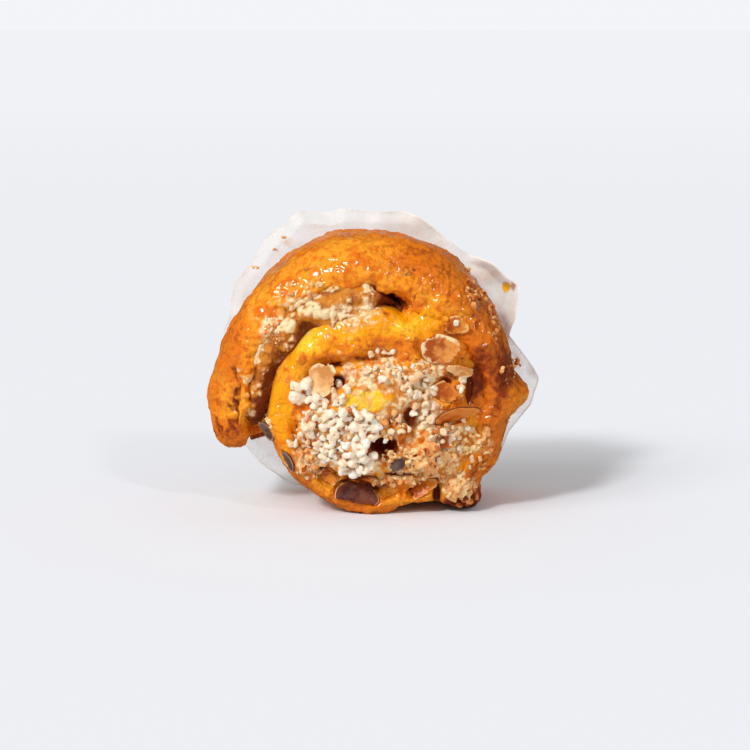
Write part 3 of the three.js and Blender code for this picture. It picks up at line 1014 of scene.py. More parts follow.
@dataclass
class Crust:
    """Relief and colouring that all the dough shares, by places on the face in millimetres."""

    roll: Roll
    noise: Noise
    seats: Sequence[Seat]
    hollows: tuple[Patch, ...] = patches(
        (4.2, 24.2, 3.8, 2.1, 7.0), (-9.9, 44.8, 2.4, 1.8, 3.0), (-12.3, 28.2, 1.0, 0.9, 1.6),
        (-4.3, 26.8, 1.2, 1.0, 2.0), (12.7, 34.4, 2.2, 3.4, 2.2), (6.4, 32.4, 1.6, 1.6, 1.6),
        (24.2, 44.8, 2.2, 1.8, 2.2), (17.2, 45.4, 1.5, 1.1, 1.8), (-14.8, 39.2, 2.0, 1.0, 1.6),
        (-23.1, 30.4, 1.6, 1.8, 1.4), (31.6, 41.5, 1.3, 5.5, 2.6), (11.7, 14.2, 7.0, 1.1, 2.4),
        (-4.0, 13.0, 7.0, 1.2, 2.0), (21.8, 6.0, 1.3, 4.2, 5.0), (12.0, 79.0, 6.0, 2.6, 0.6),
        (-23.0, 66.0, 4.0, 1.4, 2.0), (-14.0, 50.2, 8.0, 1.5, 1.8), (-2.0, 52.4, 5.0, 1.2, 1.9),
        (6.5, 53.6, 3.5, 1.0, 1.2), (15.0, 52.0, 5.0, 1.2, 1.3),
    )
    bulges: tuple[Patch, ...] = patches(
        (9.0, 48.0, 10.0, 4.5, 1.3), (16.5, 42.0, 5.0, 7.0, 1.2), (0.5, 39.4, 9.5, 4.6, 0.6),
        (-13.0, 30.0, 9.0, 8.0, 1.6), (-4.0, 21.0, 7.0, 6.0, 1.4), (15.5, 20.0, 8.0, 5.5, 1.6),
        (19.5, 20.5, 4.6, 5.0, 1.6), (27.0, 27.0, 5.0, 7.0, 1.4), (-20.0, 18.0, 5.0, 5.0, 1.2),
        (29.5, 8.5, 5.5, 5.5, 2.2),
    )
    # Browning, and painted shade: the patches below the second turn's lip (-14, 52.5), at the dark hole (6.7,
    # 70.8) and under the foot (31, 2) stand for shade.
    bake: tuple[Patch, ...] = patches(
        (15, 85, 12, 5, 0.42), (19, 79, 6, 5, 0.3), (30, 75, 8, 7, 0.42), (37, 66, 7, 8, 0.36),
        (41.5, 49, 5, 8, 0.8), (34, 45, 3, 10, 0.7), (47, 46, 5, 6, 0.6), (42, 30, 5, 10, 0.6),
        (40, 60, 6, 10, 0.4), (38, 40, 5, 8, 0.3), (37, 12, 5, 9, 0.5), (-47, 25, 6, 5, 0.85),
        (-52, 36, 3, 7, 0.4), (-44, 56, 6, 12, 0.5), (-8, 3, 18, 4, 0.45), (-24, 12, 6, 6, 0.4),
        (31, 2, 8, 4, 1.4), (-14, 52.5, 8, 2.2, 0.55), (4, 57, 20, 3, 0.4), (6.7, 70.8, 4.6, 1.8, 1.6),
        (24, 58, 6, 5, 0.35),
    )
    yolk: tuple[Patch, ...] = patches(
        (-4, 62, 16, 6.5, 1.1), (15, 64.5, 8, 4.5, 0.9), (-22, 57, 7, 7, 1.3), (-29.5, 39, 4, 8, 0.9),
        (-12, 53, 6, 4, 0.4), (0, 39, 10.5, 4.8, 1.7), (-6, 36.6, 4, 2.4, 0.7), (-9, 50, 8, 3, 0.6),
        (10, 31, 7, 4, 0.6), (-26, 28, 4, 6, 0.7), (10, 76.5, 8, 4, 0.4), (28, 14, 6, 4, 0.7),
        (-6, 89, 8, 3, 0.3), (-36, 60, 4, 6, 0.3), (38, 52, 4, 6, 0.3), (22, 52, 5, 5, 0.6),
    )
    cream: tuple[Patch, ...] = patches(
        (7, 47.5, 13, 4.5, 1.0), (17, 41.5, 6, 8, 1.0), (-2, 45.2, 6, 3, 0.8), (9, 34.6, 7, 2, 0.7),
        (-2, 35, 8, 1.8, 0.6), (10.5, 38.5, 3, 4, 0.6), (0, 30, 26, 19, 0.36), (-13, 31, 9, 8, 0.4),
        (-4, 21, 8, 8, 0.4), (13, 19, 8, 5, 0.7), (27, 24, 6, 9, 0.45), (21, 31, 5, 5, 0.6),
        (-29.8, 60, 3.6, 6, 0.9), (-40, 46, 3, 8, 0.5), (-22, 71, 8, 4, 0.7), (-8, 66.5, 12, 3.2, 0.7),
        (-21, 61, 6, 4, 0.5), (8, 62, 20, 6, 0.1), (-20, 17, 7, 5, 0.7), (10, 31, 6, 4, 0.3),
        (-38, 66, 7, 6, 0.24), (36, 24, 4, 8, 0.3), (28, 9, 6, 4, 0.9), (17, 12, 8, 3, 0.7),
        (6, 11.5, 6, 2, 0.6), (36, 70, 4, 5, 0.4),
    )
    # Syrup, and painted shade: the patches on the dark hole (6.7, 70.8), the creases and the deep hollows
    # stand for shade.
    syrup: tuple[Patch, ...] = patches(
        (6.7, 70.8, 4.6, 2, 1.0), (33.5, 45, 2, 9, 0.9), (-11, 47, 4, 3, 0.9), (13, 33, 3.5, 5, 0.8),
        (4, 24.5, 5, 4, 1.2), (0, 13, 9, 3, 0.45), (-25, 44, 3, 3, 0.5), (25, 47, 4, 3, 0.7),
        (-18, 31, 3, 3, 0.4), (-11, 28, 8, 7, 0.5), (24, 26, 5, 4, 0.5), (32, 16, 6, 4, 0.45),
        (-5, 20, 5, 5, 0.4), (-3, 10, 8, 3, 0.4), (-22, 13.5, 5, 3, 0.5), (6, 8.6, 8, 2.4, 0.4),
        (36, 66, 5, 8, 0.3), (-43, 34, 3, 6, 0.1),
    )
    wet: tuple[Patch, ...] = patches(
        (-25, 78, 15, 8, 1.0), (-8, 85, 12, 6, 0.75), (-4, 61, 26, 9, 0.85), (-28, 40, 6, 12, 0.4),
        (38, 54, 8, 14, 0.8), (30, 74, 10, 8, 0.6), (40, 34, 6, 12, 0.6), (0, 10, 26, 8, 0.6),
        (12, 74, 12, 6, 0.5), (-46, 45, 5, 12, 0.4), (8, 44, 14, 8, 0.7), (27, 21, 10, 9, 0.7),
        (-30, 58, 8, 12, 0.5),
    )
    rugged: tuple[Patch, ...] = patches(
        (30, 74, 12, 10, 1.0), (40, 54, 8, 14, 1.0), (43, 32, 6, 12, 0.8), (-45, 40, 8, 20, 0.7),
        (14, 84, 14, 7, 0.6), (0, 7, 26, 6, 0.7),
    )
    bends: tuple[Ripple, ...] = (Ripple(2.2, 7, 7), Ripple(2.2, 7, 14), Ripple(2.2, 7, 21))
    swell: Ripple = Ripple(0.7, 13, layers=2)
    billow: Ripple = Ripple(0.5, 5.0, 20)
    crease: Ripple = Ripple(1.0, 3.6, 33)
    crease_depth: float = 0.5
    crease_band: Band = (0.82, 1.0)
    creased_places: Ripple = Ripple(1.0, 11, 51)
    creased_band: Band = (-0.3, 0.3)
    pore: Ripple = Ripple(1.0, 1.9, 60)
    pore_depth: float = 0.5
    pore_band: Band = (0.45, 0.8)
    wrinkle: Ripple = Ripple(0.28, 2.3, 40)
    grain: Ripple = Ripple(0.2, 1.2, 80)
    wet_calm: float = 0.6
    knob: Ripple = Ripple(0.7, 3.6, 110)
    small_knob: Ripple = Ripple(0.4, 1.7, 115)
    knob_top: float = 0.4
    lump: Ripple = Ripple(0.9, 2.8, 90)
    small_lump: Ripple = Ripple(0.5, 1.4, 95)
    lump_foot: float = 0.3
    stir_across: tuple[Ripple, ...] = (Ripple(2.6, 6, 130), Ripple(1.2, 2.5, 140))
    stir_up: tuple[Ripple, ...] = (Ripple(2.6, 6, 150), Ripple(1.2, 2.5, 160))
    bake_all: float = 0.05
    bake_most: float = 1.6
    bake_turned: float = 0.4
    bake_side: float = 0.38
    yolk_most: float = 1.8
    pool_share: float = 0.5
    pool_from: float = 1.0
    pool_most: float = 2.0
    wet_all: float = 0.2

    def relief(self, points: np.ndarray) -> np.ndarray:
        """Height of the crust's swellings, wrinkles, pits and grain in millimetres."""
        noise = self.noise
        bent = points + np.stack([bend.at(noise, points) for bend in self.bends], axis=1)
        height = self.swell.at(noise, points) + self.billow.at(noise, bent)
        ridge = smooth_step(1 - np.abs(self.crease.at(noise, bent)), *self.crease_band)
        creased = smooth_step(self.creased_places.at(noise, points), *self.creased_band)
        height -= self.crease_depth * ridge * creased
        dry = 1 - self.wet_calm * cover(self.wet, points)
        height -= self.pore_depth * smooth_step(self.pore.at(noise, points), *self.pore_band) * dry
        height += (self.wrinkle.at(noise, bent) + self.grain.at(noise, points)) * dry
        knobs = np.abs(self.knob.at(noise, bent)) + np.abs(self.small_knob.at(noise, points))
        height += (self.knob_top - knobs) * cover(self.rugged, points)
        lumps = np.abs(self.lump.at(noise, bent)) + np.abs(self.small_lump.at(noise, points))
        return height + (lumps - self.lump_foot) * cover(self.cream, self.stirred(points))

    def stirred(self, points: np.ndarray) -> np.ndarray:
        """Places moved to and fro by a few millimetres, which makes the borders of patches irregular."""
        across = sum(ripple.at(self.noise, points) for ripple in self.stir_across)
        up = sum(ripple.at(self.noise, points) for ripple in self.stir_up)
        return points + np.stack([across, np.zeros_like(up), up], axis=1)

    def dents(self, points: np.ndarray) -> np.ndarray:
        """How far hollows lie back and bulges stand out at each place, in millimetres."""
        depth = sum(hollow.at(points) for hollow in self.hollows)
        for bulge in self.bulges:
            depth -= bulge.at(points)
        return depth

    def press(self, points: np.ndarray) -> np.ndarray:
        """How far the flakes push each place back, so that they lie free, in millimetres."""
        pushed = np.zeros(len(points))
        for seat in self.seats:
            pushed = np.maximum(pushed, seat.push(points))
        return pushed

    def write_masks(
        self,
        mesh: bpy.types.Mesh,
        points: np.ndarray,
        side: np.ndarray,
        pit: np.ndarray,
    ) -> None:
        """Keeps what the crust's material reads: browning and syrup, both with painted shade, yellow,
        filling, wetness and hollows.

        Args:
            mesh: takes the numbers.
            points: its vertices in millimetres.
            side: how far each turns away from the face, from 0 to 1.
            pit: how far each lies in a hollow, from 0 to 1; the crust is painted darker there as shade.
        """
        facing = 1 - side
        stirred = self.stirred(points)
        turned = self.bake_turned + (1 - self.bake_turned) * facing
        baked = cover(self.bake, stirred, self.bake_most) * turned
        # Painted shade: the deep hollows take the syrup colour by their depth.
        pooled_syrup_and_shade = self.pool_share * np.clip(self.dents(points) - self.pool_from, 0, self.pool_most)
        masks = {
            "bake": self.bake_all + baked + self.bake_side * side,
            "yolk": cover(self.yolk, stirred, self.yolk_most) * facing,
            "cream": cover(self.cream, stirred) * facing,
            "syrup": (cover(self.syrup, stirred) + pooled_syrup_and_shade) * facing,
            "wet": self.wet_all + cover(self.wet, points) * facing,
            "pit": pit,
        }
        for name, values in masks.items():
            write_attribute(mesh, name, values)


@dataclass
class DoughRoll:
    """The rolled strip of dough, from one winding angle to another in degrees."""

    crust: Crust
    name: str
    start: float
    end: float
    sides: int
    steps: int
    sunk_until: Band
    sunk: float = 1.3
    crowding: float = 0.55
    lobes: tuple[Bump, ...] = (Bump(-25, 3.0, 5),)
    lobe_band: Band = (0.1, 0.9)
    folds: tuple[Fold, ...] = (Fold(150, 192, -0.2, 1.1, 0.2), Fold(96, 132, -0.42, 0.6, 0.14))
    fold_sway: tuple[Ripple, ...] = (Ripple(0.3, 7, 15), Ripple(0.14, 2.6, 25))
    lip_tears: tuple[Ripple, ...] = (Ripple(1.1, 6.5), Ripple(0.6, 2.4, 70))
    lip_twist: float = 2.0
    lip_band: Band = (0.1, 0.8)
    lip_front: Band = (0.0, 0.35)
    shown_band: Band = (0.05, 0.5)
    outside_band: Band = (0.1, 0.6)
    side_band: Band = (-0.75, 0.2)
    pit_band: Band = (0.4, 1.6)

    def build(self) -> bpy.types.Mesh:
        """Shapes the strip and its relief."""
        mesh, unit = ball_mesh(self.name, self.sides, self.steps)
        roll, noise = self.crust.roll, self.crust.noise
        share, across, towards = strip_places(unit, self.crowding)
        along = roll.along(share)
        angle = math.radians(self.start) + math.radians(self.end - self.start) * along
        size = roll.end_size(along)
        outer, inner = roll.outer_edge(angle), roll.inner_edge(angle)
        wall, crown = roll.rounding(angle, across)
        radius = (outer + inner) / 2 + (outer - inner) / 2 * size * signed_power(across, wall)
        radius = radius + self.ragged_lip(angle, across, towards, outer)
        radius = radius + sum_of_bumps(self.lobes, angle) * smooth_step(across, *self.lobe_band)
        x, z = roll.on_face(angle, radius)
        facing = np.maximum(towards, 0)
        front = roll.front_depth(x, z) * facing**crown + roll.swelling(x, z) * facing**2
        front = front - self.sunk * (1 - smooth_step(angle, *in_radians(*self.sunk_until))) * facing
        back = roll.back_depth * np.maximum(-towards, 0) ** roll.base_rounding
        points = roll.place(angle, radius, np.where(towards < 0, back, -front) * size)
        write_points(mesh, points)
        shown = smooth_step(towards, *self.shown_band)
        outside = (angle > roll.tail_angle - TURN) & (across > 0)
        swollen = np.maximum(shown, np.where(outside, smooth_step(across, *self.outside_band), 0.0))
        swayed = sum((ripple.at(noise, points) for ripple in self.fold_sway), across)
        folded = sum(fold.depth_at(angle, swayed) for fold in self.folds) * shown
        height = self.crust.relief(points)
        moved = points + read_normals(mesh) * ((height - folded) * swollen)[:, None]
        moved[:, 1] += self.crust.dents(points) * shown
        moved[:, 1] += self.crust.press(moved) * shown
        moved[:, 2] = np.maximum(moved[:, 2], 0.0)
        write_points(mesh, moved)
        # Painted shade: the crust is darkened where a fold lies deepest.
        pit = smooth_step(folded - height, *self.pit_band)
        self.crust.write_masks(mesh, points, smooth_step(-towards, *self.side_band), pit)
        return mesh

    def ragged_lip(
        self,
        angle: np.ndarray,
        across: np.ndarray,
        towards: np.ndarray,
        outer: np.ndarray,
    ) -> np.ndarray:
        """How far the torn lips beside the filling run in and out.

        Args:
            angle: winding angle of each place.
            across: its place across the strip, from -1 inside to 1 outside.
            towards: its place towards the face, from -1 behind to 1 in front.
            outer: radius of the strip's outer edge there, in millimetres.

        Returns:
            The change of each place's radius, in millimetres.
        """
        run = np.stack([angle * outer, self.lip_twist * across, np.zeros_like(angle)], axis=1)
        tear = sum(ripple.at(self.crust.noise, run) for ripple in self.lip_tears)
        return tear * smooth_step(-across, *self.lip_band) * smooth_step(towards, *self.lip_front)

    def dress(self, mesh: bpy.types.Mesh, material: bpy.types.Material) -> bpy.types.Object:
        """Gives the dough its crust."""
        return finished(mesh, material, "dough_roll")


@dataclass
class SwirlFace:
    """The face inside the outer turn, where the turns have run together, as one fine relief."""

    crust: Crust
    pitch: float = 0.27
    reach: float = 43.0
    lip: float = 3.0
    flatten: float = 0.35
    melt: float = 1.0
    sink: float = 0.35
    overlap: Band = in_radians(176, 192)
    overlap_wide: float = 6.0
    overlap_sink: float = 2.0
    pit_band: Band = (0.25, 1.5)
    pit_rounds: int = 3
    calm_rounds: int = 8
    window: int = 4
    valleys: tuple[tuple[float, float], ...] = (
        (-720, 0.0), (-700, 0.6), (-670, 2.0), (-640, 3.4), (-600, 3.0), (-560, 1.8), (-520, 1.2),
        (-470, 1.8), (-430, 1.8), (-390, 1.4), (-362, 2.4), (-345, 2.6), (-322, 2.6), (-300, 2.4),
        (-291, 3.4), (-285, 14.0), (-163, 14.0),
    )
    calm: tuple[Patch, ...] = patches((11.0, 33.0, 14.0, 3.2, 1.4), (6.0, 42.5, 15.0, 9.0, 0.9))

    BEHIND_ALL = -9.0

    def build(self) -> bpy.types.Mesh:
        """Shapes the relief on a fine grid and drops what lies outside the outer turn's lip."""
        count = int(2 * self.reach / self.pitch)
        sheet = bmesh.new()
        bmesh.ops.create_grid(sheet, x_segments=count, y_segments=count, size=self.reach)
        grid = np.array([vertex.co[:] for vertex in sheet.verts])
        x, z = grid[:, 0], grid[:, 1] + self.crust.roll.height
        level, kept = self.level(x, z)
        flat = np.stack([x, np.zeros_like(x), z], axis=1)
        level = blend(level, self.smoothed(level, count + 1, self.calm_rounds), cover(self.calm, flat))
        outside = [vertex for vertex, keep in zip(sheet.verts, kept) if not keep]
        bmesh.ops.delete(sheet, geom=outside, context="VERTS")
        mesh = bpy.data.meshes.new("dough_roll_face")
        sheet.to_mesh(mesh)
        sheet.free()
        points = np.stack([x, -level, z], axis=1)
        height = self.crust.relief(points * np.array([1.0, self.flatten, 1.0])) - self.crust.dents(points)
        points[:, 1] -= height
        points[:, 1] += self.crust.press(points)
        # How far each place lies below its smoothed surroundings, which the crust darkens as painted shade.
        bowl = self.smoothed(-points[:, 1], count + 1, self.pit_rounds) + points[:, 1]
        points, bowl = points[kept], bowl[kept]
        write_points(mesh, points)
        self.crust.write_masks(mesh, points, np.zeros(len(points)), smooth_step(bowl, *self.pit_band))
        return mesh

    def level(self, x: np.ndarray, z: np.ndarray) -> tuple[np.ndarray, np.ndarray]:
        """Height of the smooth face before its relief.

        Args:
            x: places across the face in millimetres.
            z: places up the face.

        Returns:
            How far each place stands in front of the middle of the roll, and whether it lies inside the lip.
        """
        roll = self.crust.roll
        across, up = roll.shift(x, z)
        right, above = x - across, z - up - roll.height
        radius = np.hypot(right, above)
        seam = roll.tail_angle - TURN
        outermost = seam + np.mod(np.arctan2(above, right) - seam, TURN)
        kept = radius < roll.inner_edge(outermost) + self.lip
        front = roll.front_depth(x, z)
        standing = np.full(len(x), self.BEHIND_ALL)
        middle = np.zeros(len(x))
        for turn in (2, 1):
            angle = outermost - turn * TURN
            real = angle >= roll.core_angle
            inner, outer = roll.inner_edge(angle), roll.outer_edge(angle)
            share = np.clip((2 * radius - inner - outer) / (outer - inner), -1, 1)
            wall, _ = roll.rounding(angle, share)
            place = signed_power(share, 1 / wall)
            _, crown = roll.rounding(angle, place)
            towards = np.sqrt(np.maximum(0, 1 - place**2))
            standing = np.where(real, np.maximum(standing, front * towards**crown), standing)
            middle = np.where(real, (inner + outer) / 2, middle)
        inside = outermost - np.where(radius > middle, 1, 2) * TURN
        inside = np.where(inside < roll.core_angle, inside + TURN, inside)
        angles, depths = np.array(self.valleys).T
        floor = front - np.interp(np.degrees(inside), angles, depths)
        level = 0.5 * (standing + floor + np.sqrt((standing - floor) ** 2 + self.melt))
        level = level + roll.swelling(x, z) - self.sink
        hidden = smooth_step(outermost, *self.overlap) * (radius > middle - self.overlap_wide)
        return level - self.overlap_sink * hidden, kept

    def smoothed(self, level: np.ndarray, count: int, rounds: int) -> np.ndarray:
        """The mean height of each place's surroundings on a grid.

        Args:
            level: heights of a square grid in millimetres, row by row.
            count: places along a row.
            rounds: how often the mean is taken.

        Returns:
            The mean heights, row by row.
        """
        mean = level.reshape(count, count)
        steps = range(-self.window, self.window + 1)
        for axis in (0, 1) * rounds:
            mean = sum(np.roll(mean, step, axis) for step in steps) / len(steps)
        return mean.ravel()

    def dress(self, mesh: bpy.types.Mesh, material: bpy.types.Material) -> bpy.types.Object:
        """Gives the face its crust."""
        return finished(mesh, material, "dough_roll")


@dataclass
class AlmondFilling:
    """The layer of filling between the turns, which wells up where the outer turn leaves a gap."""

    roll: Roll
    noise: Noise
    sides: int = 80
    steps: int = 900
    crowding: float = 0.75
    core_crowding: float = 0.6
    tail_gap: float = math.radians(7)
    opens: Band = in_radians(80, 96)
    spills_until: Band = in_radians(112, 124)
    thins: Band = in_radians(120, 140)
    smeared: float = 4.5
    smear_swing: float = 0.5
    underlap: float = 0.8
    spill: float = 5.0
    spill_swing: float = 2.0
    run_radius: float = 40.0
    tears: tuple[Ripple, ...] = (Ripple(1.0, 5), Ripple(0.6, 2, 9))
    sway: Ripple = Ripple(2.5, 5)
    slope: float = 0.45
    back_gap: float = 1.5
    corner_power: float = 0.06
    clod: Ripple = Ripple(0.9, 4.2)
    crumbs: tuple[Ripple, ...] = (Ripple(0.9, 2.6, 30), Ripple(0.6, 1.3, 60))
    crumb_foot: float = 0.4
    crumb_front: Band = (0.1, 0.4)
    pit_band: Band = (1.0, 5.0)
    peak_band: Band = (-0.4, 0.9)
    recess: tuple[tuple[float, float, float], ...] = (
        (-360, 6.0, 6.0), (60, 6.0, 6.0), (70, 7.0, 7.0), (77, 10.0, 9.5), (83, 7.0, 6.0),
        (87, 3.0, 1.4), (92, 2.0, 0.4), (104, 1.6, 0.0), (113, 1.8, 0.2), (119, 2.6, 0.6),
        (126, 4.6, 1.4), (133, 3.4, 0.8), (142, 3.4, 1.0), (155, 5.0, 1.6), (170, 6.0, 2.4),
        (190, 7.0, 3.6),
    )

    def build(self) -> bpy.types.Mesh:
        """Shapes the layer, one turn out from the core."""
        mesh, unit = ball_mesh("almond_filling_layer", self.sides, self.steps)
        roll, noise = self.roll, self.noise
        share, across, towards = strip_places(unit, self.crowding)
        along = roll.along(share**self.core_crowding)
        start = roll.core_angle + TURN
        angle = start + (roll.tail_angle - self.tail_gap - start) * along
        size = roll.end_size(along)
        inner, outer = self.edges(angle)
        radius = (outer + inner) / 2 + (outer - inner) / 2 * signed_power(across, roll.wall_rounding) * size
        recess = self.recessed(angle, radius)
        front = roll.front_depth(*roll.on_face(angle, radius)) - recess
        depth = np.where(towards > 0, -front, roll.back_depth - self.back_gap)
        points = roll.place(angle, radius, depth * size * np.abs(towards) ** self.corner_power)
        crumbly = sum((np.abs(crumb.at(noise, points)) for crumb in self.crumbs), self.clod.at(noise, points))
        crumbly = crumbly - self.crumb_foot
        points[:, 1] -= crumbly * smooth_step(towards, *self.crumb_front)
        write_points(mesh, points)
        # Depth in the gap and height of the crumbs, which the finish paints as shade and light.
        write_attribute(mesh, "pit", smooth_step(recess - crumbly, *self.pit_band))
        write_attribute(mesh, "peak", smooth_step(crumbly, *self.peak_band))
        write_attribute(mesh, "run", smooth_step(angle, *self.thins))
        return mesh

    def edges(self, angle: np.ndarray) -> tuple[np.ndarray, np.ndarray]:
        """Inner and outer radius of the layer: it spills over the turns where the gap opens."""
        roll = self.roll
        opened = smooth_step(angle, *self.opens)
        over = opened * (1 - smooth_step(angle, *self.spills_until))
        run = np.stack([angle * self.run_radius, np.zeros_like(angle), np.zeros_like(angle)], axis=1)
        ragged = sum(tear.at(self.noise, run) for tear in self.tears)
        inner = roll.outer_edge(angle - TURN) + roll.clearance - self.underlap * opened
        inner = inner - (self.spill + self.spill_swing * ragged) * over
        outer = roll.inner_edge(angle) - roll.clearance
        return inner, outer + self.smeared * opened * (1 - self.smear_swing * ragged)

    def recessed(self, angle: np.ndarray, radius: np.ndarray) -> np.ndarray:
        """How far the layer's front lies behind the domed face, in millimetres."""
        layer = self.roll.layer(angle)
        place = (radius - self.roll.outer_edge(angle - TURN)) / layer
        run = np.stack([angle * self.run_radius, place, place], axis=1)
        turned = np.degrees(angle) + self.sway.at(self.noise, run)
        angles, *depths = np.array(self.recess).T
        near, far = (np.interp(turned, angles, depth) for depth in depths)
        return blend(near, far, smooth_step(place, 0.0, 1.0)) + self.slope * np.maximum(0, place - 1) * layer

    def dress(self, mesh: bpy.types.Mesh) -> bpy.types.Object:
        """Gives the filling its finish."""
        return finished(mesh, FillingFinish().material(), "almond_filling")


@dataclass(frozen=True)
class Flake:
    """One almond flake on the face, by its name, its sizes in millimetres and its turns in degrees."""

    name: str
    length: float
    width: float
    spin: float
    lean: float
    kind: FlakeKind
    breaks: tuple[tuple[float, float], ...] = ()

    @property
    def node(self) -> str:
        """The node that the flake stands for."""
        return f"almond_flake_{self.name}"


FLAKES = (
    Flake("upper_right", 14.5, 10.2, -18, 8, FlakeKind.SLICE, ((-4, 0.6), (-66, 0.78), (150, 0.9))),
    Flake("under", 9.5, 5.6, -8, 20, FlakeKind.PALE, ((90, 0.4), (0, 0.8), (-120, 0.8))),
    Flake("right", 15.5, 8, 16, 52, FlakeKind.LENS, ((-60, 0.85),)),
    Flake(
        "upper_left", 12.5, 10.5, 65, -24, FlakeKind.PALE, ((10, 0.8), (98, 0.74), (-170, 0.84), (-80, 0.74))
    ),
    Flake("foot", 14.2, 10.4, -12, -34, FlakeKind.SKIN, ((-92, 0.34),)),
    Flake("crest", 8.8, 6.4, -14, 14, FlakeKind.AMBER, ((170, 0.65), (70, 0.8), (-60, 0.8))),
    Flake("lower_right", 11, 6.8, 24, -36, FlakeKind.AMBER, ((-80, 0.6), (175, 0.7), (100, 0.8))),
    Flake("lower_left", 8, 6, -40, -20, FlakeKind.AMBER, ((0, 0.72), (178, 0.76), (84, 0.5), (-94, 0.5))),
    Flake("amber", 10.4, 7, -12, 12, FlakeKind.AMBER, ((60, 0.6), (-150, 0.66), (-40, 0.8))),
    Flake("chip", 6.4, 5.8, 20, 10, FlakeKind.AMBER, ((20, 0.6), (130, 0.66), (-110, 0.6))),
    Flake("shard", 8.4, 5.6, 78, 46, FlakeKind.AMBER, ((0, 0.8), (100, 0.55), (-80, 0.7))),
    Flake("dark", 7.4, 5.6, 24, 16, FlakeKind.EDGE, ((4, 0.7), (176, 0.7), (94, 0.6), (-86, 0.6))),
    Flake("gap", 8, 4.8, -58, 50, FlakeKind.EDGE, ((0, 0.85),)),
    Flake("left", 8, 3.8, -66, 56, FlakeKind.EDGE),
)


@dataclass
class AlmondFlakes:
    """The flaked almonds, each in the place of its own node."""

    noise: Noise
    flakes: tuple[Flake, ...] = FLAKES
    thickness: float = 0.9
    sides: int = 56
    steps: int = 40
    edge_span: float = 4.0
    rag: Ripple = Ripple(0.09, 2.2)
    tears: tuple[Ripple, ...] = (Ripple(0.14, 1.0, 5), Ripple(0.07, 0.5, 8))
    grazing: float = 0.05
    taper: float = 0.34
    fullness: float = 1.1
    rim_power: int = 14
    bow: float = 1.2
    cup: float = 1.8
    curl: float = 0.4
    warp: Ripple = Ripple(0.12, 2.2)
    warp_step: float = 9.0

    def seats(self) -> list[Seat]:
        """Where the flakes lie."""
        return [
            Seat(self.middle(flake), np.array(self.turn(flake)).T, flake.length / 2, flake.width / 2)
            for flake in self.flakes
        ]

    @staticmethod
    def turn(flake: Flake) -> Matrix:
        """How a flake is turned, from lying flat to its place on the face."""
        upright = Euler((math.radians(90), 0, 0)).to_matrix()
        spun = upright @ Matrix.Rotation(math.radians(flake.spin), 3, "Z")
        return spun @ Matrix.Rotation(math.radians(flake.lean), 3, "X")

    @staticmethod
    def middle(flake: Flake) -> np.ndarray:
        """Middle of a flake's node in millimetres."""
        low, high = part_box(flake.node)
        return np.array((Vector(low) + Vector(high)) / 2) / MM

    def build(self, flake: Flake) -> bpy.types.Mesh:
        """Shapes one flake: round at one end, pointed at the other, slightly warped, with a broken edge.

        Args:
            flake: its sizes and turns.

        Returns:
            The flake's mesh, in its place.
        """
        mesh, unit = ball_mesh(f"{flake.node}_nut", self.sides, self.steps)
        rim = np.hypot(unit[:, 0], unit[:, 1])
        direction = np.arctan2(unit[:, 1], unit[:, 0])
        rows = [self.edge_span * np.cos(direction), self.edge_span * np.sin(direction)]
        edge = np.stack([*rows, np.full_like(rim, flake.spin)], axis=1)
        ragged = 1 + self.rag.at(self.noise, edge)
        torn = sum((tear.at(self.noise, edge) for tear in self.tears), 1.0)
        kept = np.ones_like(rim)
        for towards, distance in flake.breaks:
            lean = np.cos(direction - math.radians(towards))
            cut = distance * torn / np.maximum(lean, self.grazing)
            kept = np.minimum(kept, np.where(lean > self.grazing, cut, 1.0))
        point = 1 - self.taper * np.maximum(np.cos(direction), 0) ** 2
        length = flake.length / 2 * np.cos(direction) * rim * kept * ragged
        width = flake.width / 2 * np.sin(direction) * point * self.fullness * rim * kept * ragged
        body = self.thickness / 2 * np.sign(unit[:, 2]) * np.sqrt(np.maximum(0, 1 - rim**self.rim_power))
        bent = self.bow * (length / flake.length) ** 2 - self.cup * (width / flake.width) ** 2
        bent = bent + self.curl * rim**4
        points = np.stack([length, width, body + bent], axis=1)
        points[:, 2] += self.warp.at(self.noise, points + self.warp_step * flake.spin)
        points = points @ np.array(self.turn(flake)).T
        middle = (points.max(axis=0) + points.min(axis=0)) / 2
        write_points(mesh, points - middle + self.middle(flake))
        write_attribute(mesh, "rim", rim * kept)
        write_attribute(mesh, "run", 0.5 + length / flake.length)
        return mesh

    def dress(self) -> list[bpy.types.Object]:
        """Builds and finishes every flake."""
        finishes = {kind: AlmondFinish(kind).material() for kind in FlakeKind}
        return [finished(self.build(f), finishes[f.kind], f.node) for f in self.flakes]


@dataclass(frozen=True)
class Scatter:
    """A patch of scattered lumps: middle, half sizes, number, lump sizes in millimetres, and shade."""

    x: float
    z: float
    wide: float
    tall: float
    count: int
    small: float
    large: float
    tint: float

    def draw(self, draw: np.random.Generator) -> tuple[float, float]:
        """A place in the patch, across and up."""
        reach, direction = math.sqrt(draw.random()), TURN * draw.random()
        across, up = reach * math.cos(direction), reach * math.sin(direction)
        return self.x + self.wide * across, self.z + self.tall * up


def scatters(*rows: tuple[float, ...]) -> tuple[Scatter, ...]:
    """Scattered lumps from rows of their middles, half sizes, numbers, lump sizes and shades."""
    return tuple(Scatter(*row) for row in rows)


DEEP_HOLLOW = 3.0
HOLLOW_RIM = 1.1


def in_hollow(hollows: Iterable[Patch], x: float, z: float) -> bool:
    """Whether a place lies in one of the deep hollows, which stay bare."""
    deep = (hollow for hollow in hollows if hollow.weight > DEEP_HOLLOW)
    return any(math.hypot((x - h.x) / h.wide, (z - h.z) / h.tall) < HOLLOW_RIM for h in deep)


